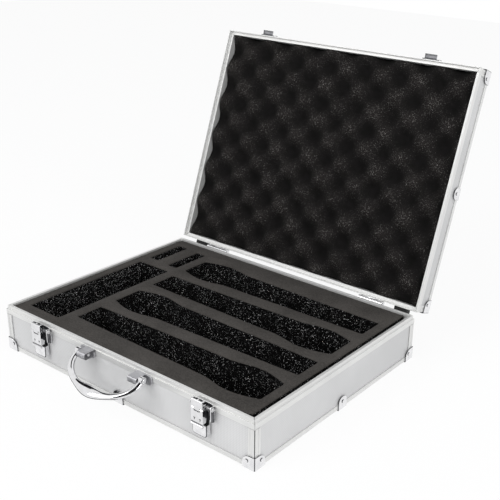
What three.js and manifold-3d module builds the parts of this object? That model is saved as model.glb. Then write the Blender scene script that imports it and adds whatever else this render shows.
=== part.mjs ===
// Aluminium-framed carrying case for four handheld microphones, shown with its lid standing open.
// Millimetres, +Z up, +X to the right and -Y to the front as the user stands at the latches.
// The origin is the centre of the bottom panel's underside.
import * as THREE from 'three';
import { mergeVertices } from 'three/addons/utils/BufferGeometryUtils.js';
import Module from 'manifold-3d';

const wasm = await Module();
wasm.setup();

// Overall size of the closed shells
const CASE_WIDTH = 380;
const CASE_DEPTH = 291;
const BASE_HEIGHT = 50.15; // underside of the bottom panel to the parting plane
const LID_HEIGHT = 28.95; // parting plane to the outside of the top panel
const LID_OPEN_ANGLE = 110; // degrees from closed to resting on the hinge stops

// Clearances
const FIT = 0.3; // between pieces that are fastened to each other
const SLIDE = 0.4; // beside pieces that turn
const CLOSED_GAP = 0.3; // lid rim above base rim when shut

// Panels and aluminium profiles
const SKIN = 0.95; // wall of the aluminium profiles
const WALL_THICKNESS = 2.6;
const FACE_THICKNESS = 2.6; // bottom and top panels
const RIM_LEG_THICKNESS = 0.8;
const RIM_LEG_HEIGHT = 10; // inner leg of the rim, behind the wall panel
const RIM_WEB = 1.4;
const BASE_BAND_HEIGHT = 6; // flush outer band of the base rim
const LID_BAND_LAP = 2; // how far the lid rim's outer band laps the wall panel
const TONGUE_LEDGE = 1.5; // step between the outer face and the raised tongue
const TONGUE_HEIGHT = 4.2;
const TONGUE_TOP_CLEARANCE = 0.5;
const EDGE_HEIGHT = 4.3; // edge profile's leg up the wall panel
const EDGE_WIDTH = 8; // edge profile's leg across the face panel
const POST_LEG = 8.6; // corner post's legs
const MITRE_GAP = 0.2;

// Stamped corner caps, middle clips and rivets
const CAP_THICKNESS = 0.8;
const CAP_LENGTH = 15; // from the case's outer corner along each edge
const CAP_HEIGHT = 14;
const CAP_ROUND = 9;
const CLIP_HALF_WIDTH = 7.2;
const CLIP_ROUND = 6.8;
const CLIP_HEIGHT = 13;
const CLIP_FOOT = 12;
const RIVET_RADIUS = 2;
const RIVET_DOME = 0.8;
const RIVET_FLAT_SHARE = 0.7; // flat top of the dome, of the radius
const RIVET_SINK = 0.1; // into the plate that the head is joined to
const CAP_RIVET_INSET = 9.2;
const CAP_RIVET_HEIGHT = 7;

// Foam
const PAD_THICKNESS = 6;
const FOAM_TOP_ABOVE_PARTING = 2.4;
const FOAM_SIDE_CLEARANCE = 0.35;
const FOAM_SHORT_RIGHT = 5; // the cut block stops short of the right and rear rims
const FOAM_SHORT_REAR = 3.6;
const BUMP_HALF_PITCH_X = 26.2;
const BUMP_HALF_PITCH_Y = 23.3;
const BUMP_CENTRE_X = -19.3;
const BUMP_CENTRE_Y = -2.6;
const BUMP_HEIGHT = 12; // crest to hollow
const BUMP_STEPS = 2; // mesh steps in one half pitch
const LID_FOAM_CLEARANCE = 0.5; // bump crests above the base foam when shut

// Pockets, cut right through the foam block. The microphones lie side by side, heads at
// alternate ends, to the right of the accessory pocket.
const MIC_COUNT = 4;
const MIC_SIDE_MARGIN = 22.7; // foam in front of the first head and behind the last
const MIC_RIGHT_MARGIN = 13.2;
const MIC_END_HALF = 19;
const MIC_HEAD_HALF = 27;
const MIC_NECK_HALF = 21;
const MIC_TAIL_HALF = 17.5;
const MIC_HEAD_AT = 37; // from the head end to the widest place
const MIC_NECK_AT = 78; // from the head end to the neck
const MIC_CURVE_STEPS = 6;
const ACCESSORY_LEFT_MARGIN = 12.2;
const ACCESSORY_FRONT_MARGIN = 16.5;
const ACCESSORY_WIDTH = 50.5;
const ACCESSORY_MIC_WEB = 14.5; // foam between the accessory pocket and the microphones
const BATTERY_WIDTH = 15;
const BATTERY_LENGTH = 55.4;
const BATTERY_REAR_MARGIN = 13;
const BATTERY_ACCESSORY_WEB = 17;
const BATTERY_SPACING = 35.7;
const BATTERY_STAGGER = 2.6; // the right one of the pair lies further forward

// Hinges
const HINGE_INSET = 64.6; // from the case's side to the hinge's middle
const HINGE_WIDTH = 34;
const HINGE_AXIS_OUT = 3.9; // behind the rear wall
const HINGE_AXIS_UP = 1.9; // above the parting plane
const HINGE_LEAF = 1;
const HINGE_LEAF_HEIGHT = 14;
const HINGE_KNUCKLE_RADIUS = 2.9;
const HINGE_PIN_RADIUS = 1.2;
const HINGE_PIN_OVERHANG = 1;
const HINGE_STOP_REACH = 5.4; // behind the hinge axis
const HINGE_STOP_WIDTH = 3;
const HINGE_STOP_LIP = 1.5;
const HINGE_RIVET_INSET = 4;
const HINGE_RIVET_OFFSET = 9; // from the parting plane

// Rubber feet on the hinge side
const FOOT_INSET = 26.6; // from the case's side to the foot's middle
const FOOT_LENGTH = 18;
const FOOT_HEIGHT = 10;
const FOOT_PROUD = 7;
const FOOT_CHAMFER = 1.5;
const BASE_FOOT_Z = 24;
const LID_FOOT_ABOVE_PARTING = 14.5;

// Handle, with heights measured up from the parting plane
const HANDLE_PIVOT_OUT = 9.5;
const HANDLE_PIVOT_UP = -1.95;
const HANDLE_REST_ANGLE = 58; // degrees out from hanging straight down
const BRACKET_INNER_X = 33;
const BRACKET_BLOCK_WIDTH = 13;
const BRACKET_BLOCK_HEIGHT = 7.4;
const BRACKET_PROUD = 15.2;
const BRACKET_PLATE_WIDTH = 21.5;
const BRACKET_PLATE_HEIGHT = 10.4;
const BRACKET_PLATE_THICKNESS = 2.4;
const BRACKET_TOP_UP = 0.8;
const BRACKET_ROUND = 3;
const BRACKET_BLOCK_ROUND = 2;
const BAIL_EYE_RADIUS = 4;
const BAIL_EYE_WIDTH = 4.6;
const BAIL_REACH = 34.2; // pivot to the middle of the grip
const BAIL_STRAIGHT = 4; // straight start of each arm
const BAIL_SQUARENESS = 0.95; // 1 is an ellipse, less is squarer
const BAIL_ARM_HALF = 3.6;
const BAIL_ARM_HALF_THICKNESS = 2.3;
const GRIP_HALF = 6.7;
const GRIP_HALF_THICKNESS = 3.6;
const GRIP_HALF_LENGTH = 27;
const BAIL_STEPS = 40;
const BAIL_SIDES = 12;
const HANDLE_PIN_RADIUS = 1.6;
const HANDLE_PIN_HEAD_RADIUS = 2.6;
const HANDLE_PIN_HEAD = 1.2;

// Latches, with heights measured up from the parting plane and distances out from the front
const LATCH_INSET = 66.2; // from the case's side to the lever's middle
const LATCH_SHEET = 1;
const LATCH_BORE_CLEARANCE = 0.3;
const PLATE_LEFT_REACH = 10.2; // from the lever's middle
const PLATE_RIGHT_REACH = 16.5; // past the spring, which has its own bay beside the lever
const PLATE_BOTTOM_UP = -17.3;
const PLATE_TOP_UP = 1.75;
const PLATE_ROUND = 5;
const CHEEK_PROUD = 6.3;
const CHEEK_TOP_UP = 1.65;
const CHEEK_ROUND = 2;
const CHEEK_SLOPE = 1.5;
const LATCH_BODY_HALF_WIDTH = 9.8;
const LATCH_BODY_BOTTOM_UP = -37.2;
const LATCH_BODY_TOP_UP = -22.65;
const LATCH_BODY_PROUD = 5.5;
const LATCH_BODY_ROUND = 4;
const LEVER_PIVOT_OUT = 4.2;
const LEVER_PIVOT_UP = -1.95;
const LEVER_EYE_RADIUS = 2.3;
const LEVER_PIN_RADIUS = 1.1;
const LEVER_PIN_HEAD = 0.8;
const LEVER_BOTTOM_UP = -23.15;
const LEVER_LIP_RADIUS = 1.1;
const LEVER_WEB = 0.9;
const LEVER_WEB_BOTTOM_UP = -20;
const CLAW_PIVOT_OUT = 7.2;
const CLAW_PIVOT_UP = -5.95;
const CLAW_PIN_RADIUS = 0.65;
const CLAW_KNUCKLE_RADIUS = 1.7;
const CLAW_KNUCKLE_HALF = 3.6;
const FLAP_PROUD = 8.7; // front face of lever and claw
const FLAP_HALF_WIDTH = 7.8;
const CLAW_TOP_UP = 4.4;
const CLAW_HOOK_REACH = 3.7; // inward fold at the claw's top
const CLAW_WIDE_ABOVE_PIVOT = 2.2;
const SPRING_RADIUS = 1.9;
const SPRING_WIRE_RADIUS = 0.3;
const SPRING_TURNS = 4.5;
const SPRING_PITCH = 1.1;
const SPRING_LEG = 6;

// Keepers on the lid
const KEEPER_HALF_WIDTH = 8;
const KEEPER_PLATE_HALF_WIDTH = 12.8;
const KEEPER_PLATE_BOTTOM_UP = 2.1;
const KEEPER_PLATE_HEIGHT = 9.75;
const KEEPER_PLATE_ROUND = 3;
const KEEPER_PROUD = 6.6;
const KEEPER_LIP_DROP = 1.8;
const KEEPER_SHEET = 0.9;
const KEEPER_RIVET_X = 10.4;

// Colours
const COLOURS = {
  panel: { color: 0xd3d4d6, roughness: 0.45, metalness: 0.3 },
  aluminium: { color: 0xe6e6e6, roughness: 0.35, metalness: 0.8 },
  chrome: { color: 0xd8d8da, roughness: 0.12, metalness: 1 },
  steel: { color: 0xb4b4b6, roughness: 0.3, metalness: 0.9 },
  baseFoam: { color: 0x4a4542, roughness: 0.95, metalness: 0 },
  lidFoam: { color: 0x232221, roughness: 0.95, metalness: 0 },
  rubber: { color: 0x1a1a1a, roughness: 0.8, metalness: 0 },
};

// Values that follow from the dimensions above
const WALL_INSET = SKIN + FIT;
const RIM_WIDTH = WALL_INSET + WALL_THICKNESS + FIT + RIM_LEG_THICKNESS;
const LID_TOP = BASE_HEIGHT + LID_HEIGHT;
const FRONT_Y = -CASE_DEPTH / 2;
const REAR_Y = CASE_DEPTH / 2;
const HINGE_Y = REAR_Y + HINGE_AXIS_OUT;
const HINGE_Z = BASE_HEIGHT + HINGE_AXIS_UP;
const LID_RECESS = LID_HEIGHT - TONGUE_HEIGHT - TONGUE_TOP_CLEARANCE;
const LID_BAND_BOTTOM = LID_RECESS - RIM_WEB - LID_BAND_LAP;
const CAP_OUT = FIT + CAP_THICKNESS;
const SHELL_LOW = -WALL_INSET;
const OPEN_ANGLE = THREE.MathUtils.degToRad(LID_OPEN_ANGLE);
const SIDES = ['front', 'right', 'back', 'left'];
const CORNERS = ['front_left', 'front_right', 'back_right', 'back_left'];
const PAIR = [['left', -1], ['right', 1]];

// Only positions, with shared corners merged
function bare(geometry) {
  const copy = geometry.clone();
  copy.deleteAttribute('normal');
  copy.deleteAttribute('uv');
  return mergeVertices(copy, 1e-4);
}

// A closed solid from points and triangles, turned so that its faces point out
function closedSolid(points, triangles) {
  const a = new THREE.Vector3();
  const b = new THREE.Vector3();
  const c = new THREE.Vector3();
  let volume = 0;
  for (const [i, j, k] of triangles) {
    a.fromArray(points[i]);
    b.fromArray(points[j]);
    c.fromArray(points[k]);
    volume += a.dot(b.cross(c));
  }
  const ordered = volume > 0 ? triangles : triangles.map(([i, j, k]) => [i, k, j]);
  const geometry = new THREE.BufferGeometry();
  geometry.setAttribute('position', new THREE.Float32BufferAttribute(points.flat(), 3));
  geometry.setIndex(ordered.flat());
  return geometry;
}

// A solid skinned over rings of points, closed at both ends
function loft(rings) {
  const sides = rings[0].length;
  const triangles = [];
  for (let n = 0; n + 1 < rings.length; n += 1) {
    for (let side = 0; side < sides; side += 1) {
      const next = (side + 1) % sides;
      const here = n * sides;
      triangles.push([here + side, here + sides + side, here + next]);
      triangles.push([here + next, here + sides + side, here + sides + next]);
    }
  }
  const last = (rings.length - 1) * sides;
  for (let side = 1; side + 1 < sides; side += 1) {
    triangles.push([0, side, side + 1]);
    triangles.push([last, last + side + 1, last + side]);
  }
  return closedSolid(rings.flat(), triangles);
}

// The mirror image across x = 0, y = 0 or z = 0
function reflected(geometry, sx, sy, sz) {
  const copy = bare(geometry).scale(sx, sy, sz);
  if (sx * sy * sz < 0) {
    const index = Array.from(copy.index.array);
    for (let i = 0; i < index.length; i += 3) {
      [index[i + 1], index[i + 2]] = [index[i + 2], index[i + 1]];
    }
    copy.setIndex(index);
  }
  return copy;
}

const toOtherSide = (geometry) => reflected(geometry, -1, 1, 1);

function toManifold(geometry) {
  const shared = bare(geometry);
  const mesh = new wasm.Mesh({
    numProp: 3,
    vertProperties: new Float32Array(shared.attributes.position.array),
    triVerts: new Uint32Array(shared.index.array),
  });
  return new wasm.Manifold(mesh);
}

function fromManifold(manifold) {
  const mesh = manifold.getMesh();
  const geometry = new THREE.BufferGeometry();
  geometry.setAttribute('position', new THREE.BufferAttribute(mesh.vertProperties.slice(), 3));
  geometry.setIndex(new THREE.BufferAttribute(mesh.triVerts.slice(), 1));
  return geometry;
}

function join(...geometries) {
  return fromManifold(geometries.map(toManifold).reduce((sum, item) => sum.add(item)));
}

function cut(geometry, ...tools) {
  return fromManifold(tools.map(toManifold).reduce(
    (rest, item) => rest.subtract(item),
    toManifold(geometry),
  ));
}

function box(x0, x1, y0, y1, z0, z1) {
  const geometry = new THREE.BoxGeometry(x1 - x0, y1 - y0, z1 - z0);
  return geometry.translate((x0 + x1) / 2, (y0 + y1) / 2, (z0 + z1) / 2);
}

// A cylinder along X
function rod(x0, x1, y, z, radius, sides = 16) {
  const geometry = new THREE.CylinderGeometry(radius, radius, x1 - x0, sides);
  return geometry.rotateZ(-Math.PI / 2).translate((x0 + x1) / 2, y, z);
}

// An outline of [x, y] pairs, some with a corner radius as a third number
function roundedShape(corners) {
  const shape = new THREE.Shape();
  corners.forEach(([x, y, radius = 0], i) => {
    const before = corners.at(i - 1);
    const after = corners[(i + 1) % corners.length];
    const corner = new THREE.Vector2(x, y);
    const start = new THREE.Vector2(before[0], before[1]).sub(corner).setLength(radius).add(corner);
    const end = new THREE.Vector2(after[0], after[1]).sub(corner).setLength(radius).add(corner);
    if (i === 0) {
      shape.moveTo(start.x, start.y);
    } else {
      shape.lineTo(start.x, start.y);
    }
    if (radius > 0) {
      shape.quadraticCurveTo(x, y, end.x, end.y);
    }
  });
  shape.closePath();
  return shape;
}

function slab(corners, depth, steps = 4) {
  const options = { depth, bevelEnabled: false, curveSegments: steps };
  return new THREE.ExtrudeGeometry(roundedShape(corners), options);
}

const rectangle = (x0, x1, y0, y1, round = 0) => [
  [x0, y0, round],
  [x1, y0, round],
  [x1, y1, round],
  [x0, y1, round],
];

// Drawing planes on the front of the case: distances are given out from the front wall
const out = (distance) => FRONT_Y - distance;
const up = (height) => BASE_HEIGHT + height;
const FACING_FRONT = new THREE.Matrix4().makeRotationX(Math.PI / 2);
const ACROSS_FRONT = new THREE.Matrix4().makeBasis(
  new THREE.Vector3(0, -1, 0),
  new THREE.Vector3(0, 0, 1),
  new THREE.Vector3(-1, 0, 0),
);
const ACROSS_REAR = new THREE.Matrix4().makeBasis(
  new THREE.Vector3(0, 1, 0),
  new THREE.Vector3(0, 0, 1),
  new THREE.Vector3(1, 0, 0),
);

function frontBox(x0, x1, out0, out1, z0, z1) {
  return box(x0, x1, out(out1), out(out0), z0, z1);
}

// An outline in X and Z, extruded forwards
function frontSlab(corners, out0, out1, steps = 4) {
  return slab(corners, out1 - out0, steps).applyMatrix4(FACING_FRONT).translate(0, out(out0), 0);
}

// An outline in distance out and Z, extruded along X
function crossSlab(corners, x0, x1, steps = 4) {
  return slab(corners, x1 - x0, steps).applyMatrix4(ACROSS_FRONT).translate(x1, FRONT_Y, 0);
}

// A domed rivet head that faces -Y, sunk a little into the plate that it is joined to
function rivetHead(x, y, z) {
  const profile = [
    new THREE.Vector2(0, -RIVET_SINK),
    new THREE.Vector2(RIVET_RADIUS, -RIVET_SINK),
    new THREE.Vector2(RIVET_RADIUS * RIVET_FLAT_SHARE, RIVET_DOME),
    new THREE.Vector2(0, RIVET_DOME),
  ];
  const lathe = bare(new THREE.LatheGeometry(profile, 8));
  const points = [];
  for (let i = 0; i < lathe.attributes.position.count; i += 1) {
    points.push(new THREE.Vector3().fromBufferAttribute(lathe.attributes.position, i).toArray());
  }
  const triangles = [];
  for (let i = 0; i < lathe.index.count; i += 3) {
    const triangle = Array.from(lathe.index.array.slice(i, i + 3));
    if (new Set(triangle).size === 3) {
      triangles.push(triangle);
    }
  }
  return closedSolid(points, triangles).rotateX(Math.PI).translate(x, y, z);
}

// A bar with 45 degree ends: the profile gives distance in from the outer face and height
function mitredBar(profile, half) {
  const end = (sign) => profile.map(([inset, height]) => [
    sign * (half - inset - MITRE_GAP),
    inset,
    height,
  ]);
  const points = [...end(-1), ...end(1)];
  const count = profile.length;
  const contour = profile.map(([inset, height]) => new THREE.Vector2(inset, height));
  const turned = THREE.ShapeUtils.isClockWise(contour);
  const triangles = [];
  for (const [i, j, k] of THREE.ShapeUtils.triangulateShape(contour, [])) {
    triangles.push([i, j, k]);
    triangles.push([count + i, count + k, count + j]);
  }
  for (let i = 0; i < count; i += 1) {
    const next = (i + 1) % count;
    triangles.push(turned ? [i, next, count + i] : [i, count + i, next]);
    triangles.push(turned ? [next, count + next, count + i] : [next, count + i, count + next]);
  }
  return closedSolid(points, triangles);
}

// Puts a piece that was drawn along the front wall on any of the four walls
function onSide(geometry, side) {
  const offset = side % 2 === 0 ? CASE_DEPTH / 2 : CASE_WIDTH / 2;
  return geometry.translate(0, -offset, 0).rotateZ((side * Math.PI) / 2);
}

const halfLength = (side) => (side % 2 === 0 ? CASE_WIDTH : CASE_DEPTH) / 2;

const part = new THREE.Group();
const lid = new THREE.Group();
lid.position.set(0, HINGE_Y, HINGE_Z);
lid.rotation.x = -OPEN_ANGLE;
part.add(lid);

function addTo(group, name, geometry, finish) {
  const mesh = new THREE.Mesh(geometry, new THREE.MeshStandardMaterial(COLOURS[finish]));
  mesh.name = name;
  group.add(mesh);
}

const addPiece = (name, geometry, finish) => addTo(part, name, geometry, finish);

// Lid pieces are drawn in their closed place and hung on the hinge axis
const addLidPiece = (name, geometry, finish) =>
  addTo(lid, name, geometry.translate(0, -HINGE_Y, -HINGE_Z), finish);

// Both shells are drawn upwards from their face panel's outside, and the lid is turned over
const asDrawn = (geometry) => geometry;
const turnedOver = (geometry) => reflected(geometry, 1, 1, -1).translate(0, 0, LID_TOP);

function facePanel() {
  const x = CASE_WIDTH / 2 - WALL_INSET - WALL_THICKNESS - FIT;
  const y = CASE_DEPTH / 2 - WALL_INSET - WALL_THICKNESS - FIT;
  return box(-x, x, -y, y, 0, FACE_THICKNESS);
}

function wallPanel(side, top) {
  const trim = side % 2 === 0 ? WALL_INSET : WALL_INSET + WALL_THICKNESS + FIT;
  const half = halfLength(side) - trim;
  return onSide(box(-half, half, WALL_INSET, WALL_INSET + WALL_THICKNESS, 0, top), side);
}

const rimChannel = RIM_WIDTH - RIM_LEG_THICKNESS;

const baseRimProfile = [
  [0, BASE_HEIGHT - BASE_BAND_HEIGHT],
  [SKIN, BASE_HEIGHT - BASE_BAND_HEIGHT],
  [SKIN, BASE_HEIGHT - RIM_WEB],
  [rimChannel, BASE_HEIGHT - RIM_WEB],
  [rimChannel, BASE_HEIGHT - RIM_LEG_HEIGHT],
  [RIM_WIDTH, BASE_HEIGHT - RIM_LEG_HEIGHT],
  [RIM_WIDTH, BASE_HEIGHT + TONGUE_HEIGHT],
  [TONGUE_LEDGE, BASE_HEIGHT + TONGUE_HEIGHT],
  [TONGUE_LEDGE, BASE_HEIGHT],
  [0, BASE_HEIGHT],
];

const lidRimProfile = [
  [0, LID_BAND_BOTTOM],
  [SKIN, LID_BAND_BOTTOM],
  [SKIN, LID_RECESS - RIM_WEB],
  [rimChannel, LID_RECESS - RIM_WEB],
  [rimChannel, LID_RECESS - RIM_LEG_HEIGHT],
  [RIM_WIDTH, LID_RECESS - RIM_LEG_HEIGHT],
  [RIM_WIDTH, LID_RECESS],
  [TONGUE_LEDGE - FIT, LID_RECESS],
  [TONGUE_LEDGE - FIT, LID_HEIGHT - CLOSED_GAP],
  [0, LID_HEIGHT - CLOSED_GAP],
];

// A riveted clip over the middle of each edge, with a foot under the face panel
function middleClip(side) {
  const low = SHELL_LOW - CAP_OUT;
  const leaf = slab([
    [-CLIP_HALF_WIDTH, low],
    [CLIP_HALF_WIDTH, low],
    [CLIP_HALF_WIDTH, CLIP_HEIGHT, CLIP_ROUND],
    [-CLIP_HALF_WIDTH, CLIP_HEIGHT, CLIP_ROUND],
  ], CAP_OUT + SKIN / 2).applyMatrix4(FACING_FRONT).translate(0, SKIN / 2, 0);
  const foot = box(-CLIP_HALF_WIDTH, CLIP_HALF_WIDTH, -CAP_OUT, CLIP_FOOT, low, SHELL_LOW + SKIN / 2);
  const clear = box(
    -CASE_WIDTH,
    CASE_WIDTH,
    -FIT,
    CASE_DEPTH / 2,
    EDGE_HEIGHT,
    CLIP_HEIGHT + CAP_OUT,
  );
  const pastEdge = box(
    -CASE_WIDTH,
    CASE_WIDTH,
    EDGE_WIDTH,
    CASE_DEPTH / 2,
    SHELL_LOW - FIT,
    EDGE_HEIGHT,
  );
  const clip = cut(join(leaf, foot), clear, pastEdge);
  return onSide(join(clip, rivetHead(0, -CAP_OUT, CAP_RIVET_HEIGHT)), side);
}

// The edge profiles round the face panel, with the corner posts and the middle clips on them
function edgeFrame(postTop) {
  const x = CASE_WIDTH / 2;
  const y = CASE_DEPTH / 2;
  const ring = cut(
    box(-x, x, -y, y, SHELL_LOW, EDGE_HEIGHT),
    box(-x + SKIN, x - SKIN, -y + SKIN, y - SKIN, -FIT, EDGE_HEIGHT + 1),
    box(-x + EDGE_WIDTH, x - EDGE_WIDTH, -y + EDGE_WIDTH, y - EDGE_WIDTH, SHELL_LOW - 1, 0),
  );
  const posts = CORNERS.map((_, corner) => {
    const sx = corner === 1 || corner === 2 ? 1 : -1;
    const sy = corner > 1 ? 1 : -1;
    const outline = [
      [sx * x, sy * y],
      [sx * (x - POST_LEG), sy * y],
      [sx * (x - POST_LEG), sy * (y - SKIN)],
      [sx * (x - SKIN), sy * (y - SKIN)],
      [sx * (x - SKIN), sy * (y - POST_LEG)],
      [sx * x, sy * (y - POST_LEG)],
    ];
    return slab(outline, postTop - EDGE_HEIGHT + SKIN).translate(0, 0, EDGE_HEIGHT - SKIN);
  });
  return join(ring, ...posts, ...SIDES.map((_, side) => middleClip(side)));
}

// One cap has a riveted leaf on each wall and a third leaf on the face panel
function cornerCap(corner) {
  const leaf = (height) => slab([
    [-CAP_OUT, -CAP_OUT, CAP_OUT],
    [CAP_LENGTH, -CAP_OUT],
    [CAP_LENGTH, height, CAP_ROUND],
    [-CAP_OUT, height],
  ], CAP_THICKNESS);
  const faceLeaf = leaf(CAP_LENGTH).translate(0, 0, SHELL_LOW - CAP_OUT);
  const frontLeaf = leaf(CAP_HEIGHT).applyMatrix4(FACING_FRONT).translate(0, -FIT, SHELL_LOW);
  const sideLeaf = leaf(CAP_HEIGHT).applyMatrix4(ACROSS_REAR).translate(-CAP_OUT, 0, SHELL_LOW);
  const frontRivet = rivetHead(CAP_RIVET_INSET, -CAP_OUT, CAP_RIVET_HEIGHT);
  const sideRivet = rivetHead(0, 0, CAP_RIVET_HEIGHT)
    .rotateZ(-Math.PI / 2)
    .translate(-CAP_OUT, CAP_RIVET_INSET, 0);
  const cap = join(faceLeaf, frontLeaf, sideLeaf, frontRivet, sideRivet);
  const sx = corner === 1 || corner === 2 ? 1 : -1;
  const sy = corner > 1 ? 1 : -1;
  return cap.rotateZ((corner * Math.PI) / 2)
    .translate((sx * CASE_WIDTH) / 2, (sy * CASE_DEPTH) / 2, 0);
}

function buildShell(prefix, add, place, wallTop, postTop, rimProfile) {
  add(`${prefix}_${prefix === 'base' ? 'bottom' : 'top'}_panel`, place(facePanel()), 'panel');
  SIDES.forEach((name, side) => {
    const rim = onSide(mitredBar(rimProfile, halfLength(side)), side);
    add(`${prefix}_${name}_wall`, place(wallPanel(side, wallTop)), 'panel');
    add(`${prefix}_${name}_rim`, place(rim), 'aluminium');
  });
  add(`${prefix}_edge_frame`, place(edgeFrame(postTop)), 'aluminium');
  CORNERS.forEach((name, corner) => {
    add(`${prefix}_corner_cap_${name}`, place(cornerCap(corner)), 'steel');
  });
}

buildShell(
  'base',
  addPiece,
  asDrawn,
  BASE_HEIGHT - RIM_WEB - FIT,
  BASE_HEIGHT - BASE_BAND_HEIGHT - FIT,
  baseRimProfile,
);
buildShell(
  'lid',
  addLidPiece,
  turnedOver,
  LID_RECESS - RIM_WEB - FIT,
  LID_BAND_BOTTOM - FIT,
  lidRimProfile,
);

// Foam block with its pockets, over a plain floor pad
const padX = CASE_WIDTH / 2 - RIM_WIDTH - FOAM_SIDE_CLEARANCE;
const padY = CASE_DEPTH / 2 - RIM_WIDTH - FOAM_SIDE_CLEARANCE;
const padBottom = FACE_THICKNESS + FIT;
const foamBottom = padBottom + PAD_THICKNESS + FIT;
const foamTop = up(FOAM_TOP_ABOVE_PARTING);
const foamLeft = -padX;
const foamRight = padX - FOAM_SHORT_RIGHT;
const foamFront = -padY;
const foamRear = padY - FOAM_SHORT_REAR;
const accessoryLeft = foamLeft + ACCESSORY_LEFT_MARGIN;
const accessoryRight = accessoryLeft + ACCESSORY_WIDTH;
const batteryFront = foamRear - BATTERY_REAR_MARGIN - BATTERY_LENGTH;
const accessoryRear = batteryFront - BATTERY_ACCESSORY_WEB;
const micLeft = accessoryRight + ACCESSORY_MIC_WEB;
const micRight = foamRight - MIC_RIGHT_MARGIN;
const micLength = micRight - micLeft;
const micEdge = MIC_SIDE_MARGIN + MIC_HEAD_HALF;
const micPitch = (foamRear - foamFront - 2 * micEdge) / (MIC_COUNT - 1);

function micHalfWidth(fromHead) {
  if (fromHead < MIC_HEAD_AT) {
    const rise = Math.sin((Math.PI / 2) * (fromHead / MIC_HEAD_AT));
    return MIC_END_HALF + (MIC_HEAD_HALF - MIC_END_HALF) * rise;
  }
  if (fromHead < MIC_NECK_AT) {
    const ease = Math.cos((Math.PI * (fromHead - MIC_HEAD_AT)) / (MIC_NECK_AT - MIC_HEAD_AT));
    return MIC_NECK_HALF + (MIC_HEAD_HALF - MIC_NECK_HALF) * (0.5 + 0.5 * ease);
  }
  const along = (fromHead - MIC_NECK_AT) / (micLength - MIC_NECK_AT);
  return MIC_NECK_HALF + (MIC_TAIL_HALF - MIC_NECK_HALF) * along;
}

function micPocket(row) {
  const headLeft = row % 2 === 0;
  const centreY = foamRear - micEdge - row * micPitch;
  const stations = [];
  for (let step = 0; step < MIC_CURVE_STEPS; step += 1) {
    stations.push((MIC_HEAD_AT * step) / MIC_CURVE_STEPS);
  }
  for (let step = 0; step <= MIC_CURVE_STEPS; step += 1) {
    stations.push(MIC_HEAD_AT + ((MIC_NECK_AT - MIC_HEAD_AT) * step) / MIC_CURVE_STEPS);
  }
  stations.push(micLength);
  const outline = (sign) => stations.map((fromHead) => [
    headLeft ? micLeft + fromHead : micRight - fromHead,
    centreY + sign * micHalfWidth(fromHead),
  ]);
  return [...outline(1), ...outline(-1).reverse()];
}

function foamBlock() {
  const block = box(foamLeft, foamRight, foamFront, foamRear, foamBottom, foamTop);
  const accessoryFront = foamFront + ACCESSORY_FRONT_MARGIN;
  const outlines = [rectangle(accessoryLeft, accessoryRight, accessoryFront, accessoryRear)];
  for (const place of [0, 1]) {
    const left = accessoryLeft + place * BATTERY_SPACING;
    const front = batteryFront - place * BATTERY_STAGGER;
    outlines.push(rectangle(left, left + BATTERY_WIDTH, front, front + BATTERY_LENGTH));
  }
  for (let row = 0; row < MIC_COUNT; row += 1) {
    outlines.push(micPocket(row));
  }
  const tools = outlines.map((outline) => slab(outline, 2 * foamTop));
  return cut(block, ...tools);
}

addPiece(
  'foam_floor_pad',
  box(-padX, padX, -padY, padY, padBottom, padBottom + PAD_THICKNESS),
  'lidFoam',
);
addPiece('foam_insert', foamBlock(), 'baseFoam');

// Convoluted foam in the lid: a flat back and a chequered field of bumps and hollows
function gridLines(half, centre, step) {
  const lines = [-half];
  const first = Math.ceil((-half - centre) / step + 0.25);
  for (let n = first; centre + n * step < half - step / 4; n += 1) {
    lines.push(centre + n * step);
  }
  lines.push(half);
  return lines;
}

function convolutedFoam() {
  const crest = foamTop + LID_FOAM_CLEARANCE;
  const back = LID_TOP - FACE_THICKNESS - FIT;
  const xs = gridLines(padX, BUMP_CENTRE_X, BUMP_HALF_PITCH_X / BUMP_STEPS);
  const ys = gridLines(padY, BUMP_CENTRE_Y, BUMP_HALF_PITCH_Y / BUMP_STEPS);
  const points = [];
  for (const y of ys) {
    for (const x of xs) {
      const wave = Math.cos((Math.PI * (x - BUMP_CENTRE_X)) / BUMP_HALF_PITCH_X)
        * Math.cos((Math.PI * (y - BUMP_CENTRE_Y)) / BUMP_HALF_PITCH_Y);
      points.push([x, y, crest + (BUMP_HEIGHT / 2) * (1 - wave)]);
    }
  }
  const field = points.length;
  const at = (i, j) => j * xs.length + i;
  const triangles = [];
  for (let j = 0; j + 1 < ys.length; j += 1) {
    for (let i = 0; i + 1 < xs.length; i += 1) {
      triangles.push([at(i, j), at(i, j + 1), at(i + 1, j + 1)]);
      triangles.push([at(i, j), at(i + 1, j + 1), at(i + 1, j)]);
    }
  }
  const border = [];
  for (let i = 0; i + 1 < xs.length; i += 1) {
    border.push(at(i, 0));
  }
  for (let j = 0; j + 1 < ys.length; j += 1) {
    border.push(at(xs.length - 1, j));
  }
  for (let i = xs.length - 1; i > 0; i -= 1) {
    border.push(at(i, ys.length - 1));
  }
  for (let j = ys.length - 1; j > 0; j -= 1) {
    border.push(at(0, j));
  }
  for (const index of border) {
    points.push([points[index][0], points[index][1], back]);
  }
  const middle = points.push([0, 0, back]) - 1;
  border.forEach((index, n) => {
    const next = (n + 1) % border.length;
    triangles.push([index, border[next], field + next]);
    triangles.push([index, field + next, field + n]);
    triangles.push([field + n, field + next, middle]);
  });
  return closedSolid(points, triangles);
}

addLidPiece('lid_foam', convolutedFoam(), 'lidFoam');

// Hinges: leaves on the rear walls, knuckles round a pin, and stops that the open lid rests on
const leafInner = REAR_Y + FIT;
const leafOuter = leafInner + HINGE_LEAF;
const knuckleReach = HINGE_KNUCKLE_RADIUS + SLIDE;
const knuckleWidth = (HINGE_WIDTH - 2 * SLIDE) / 3;

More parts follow.
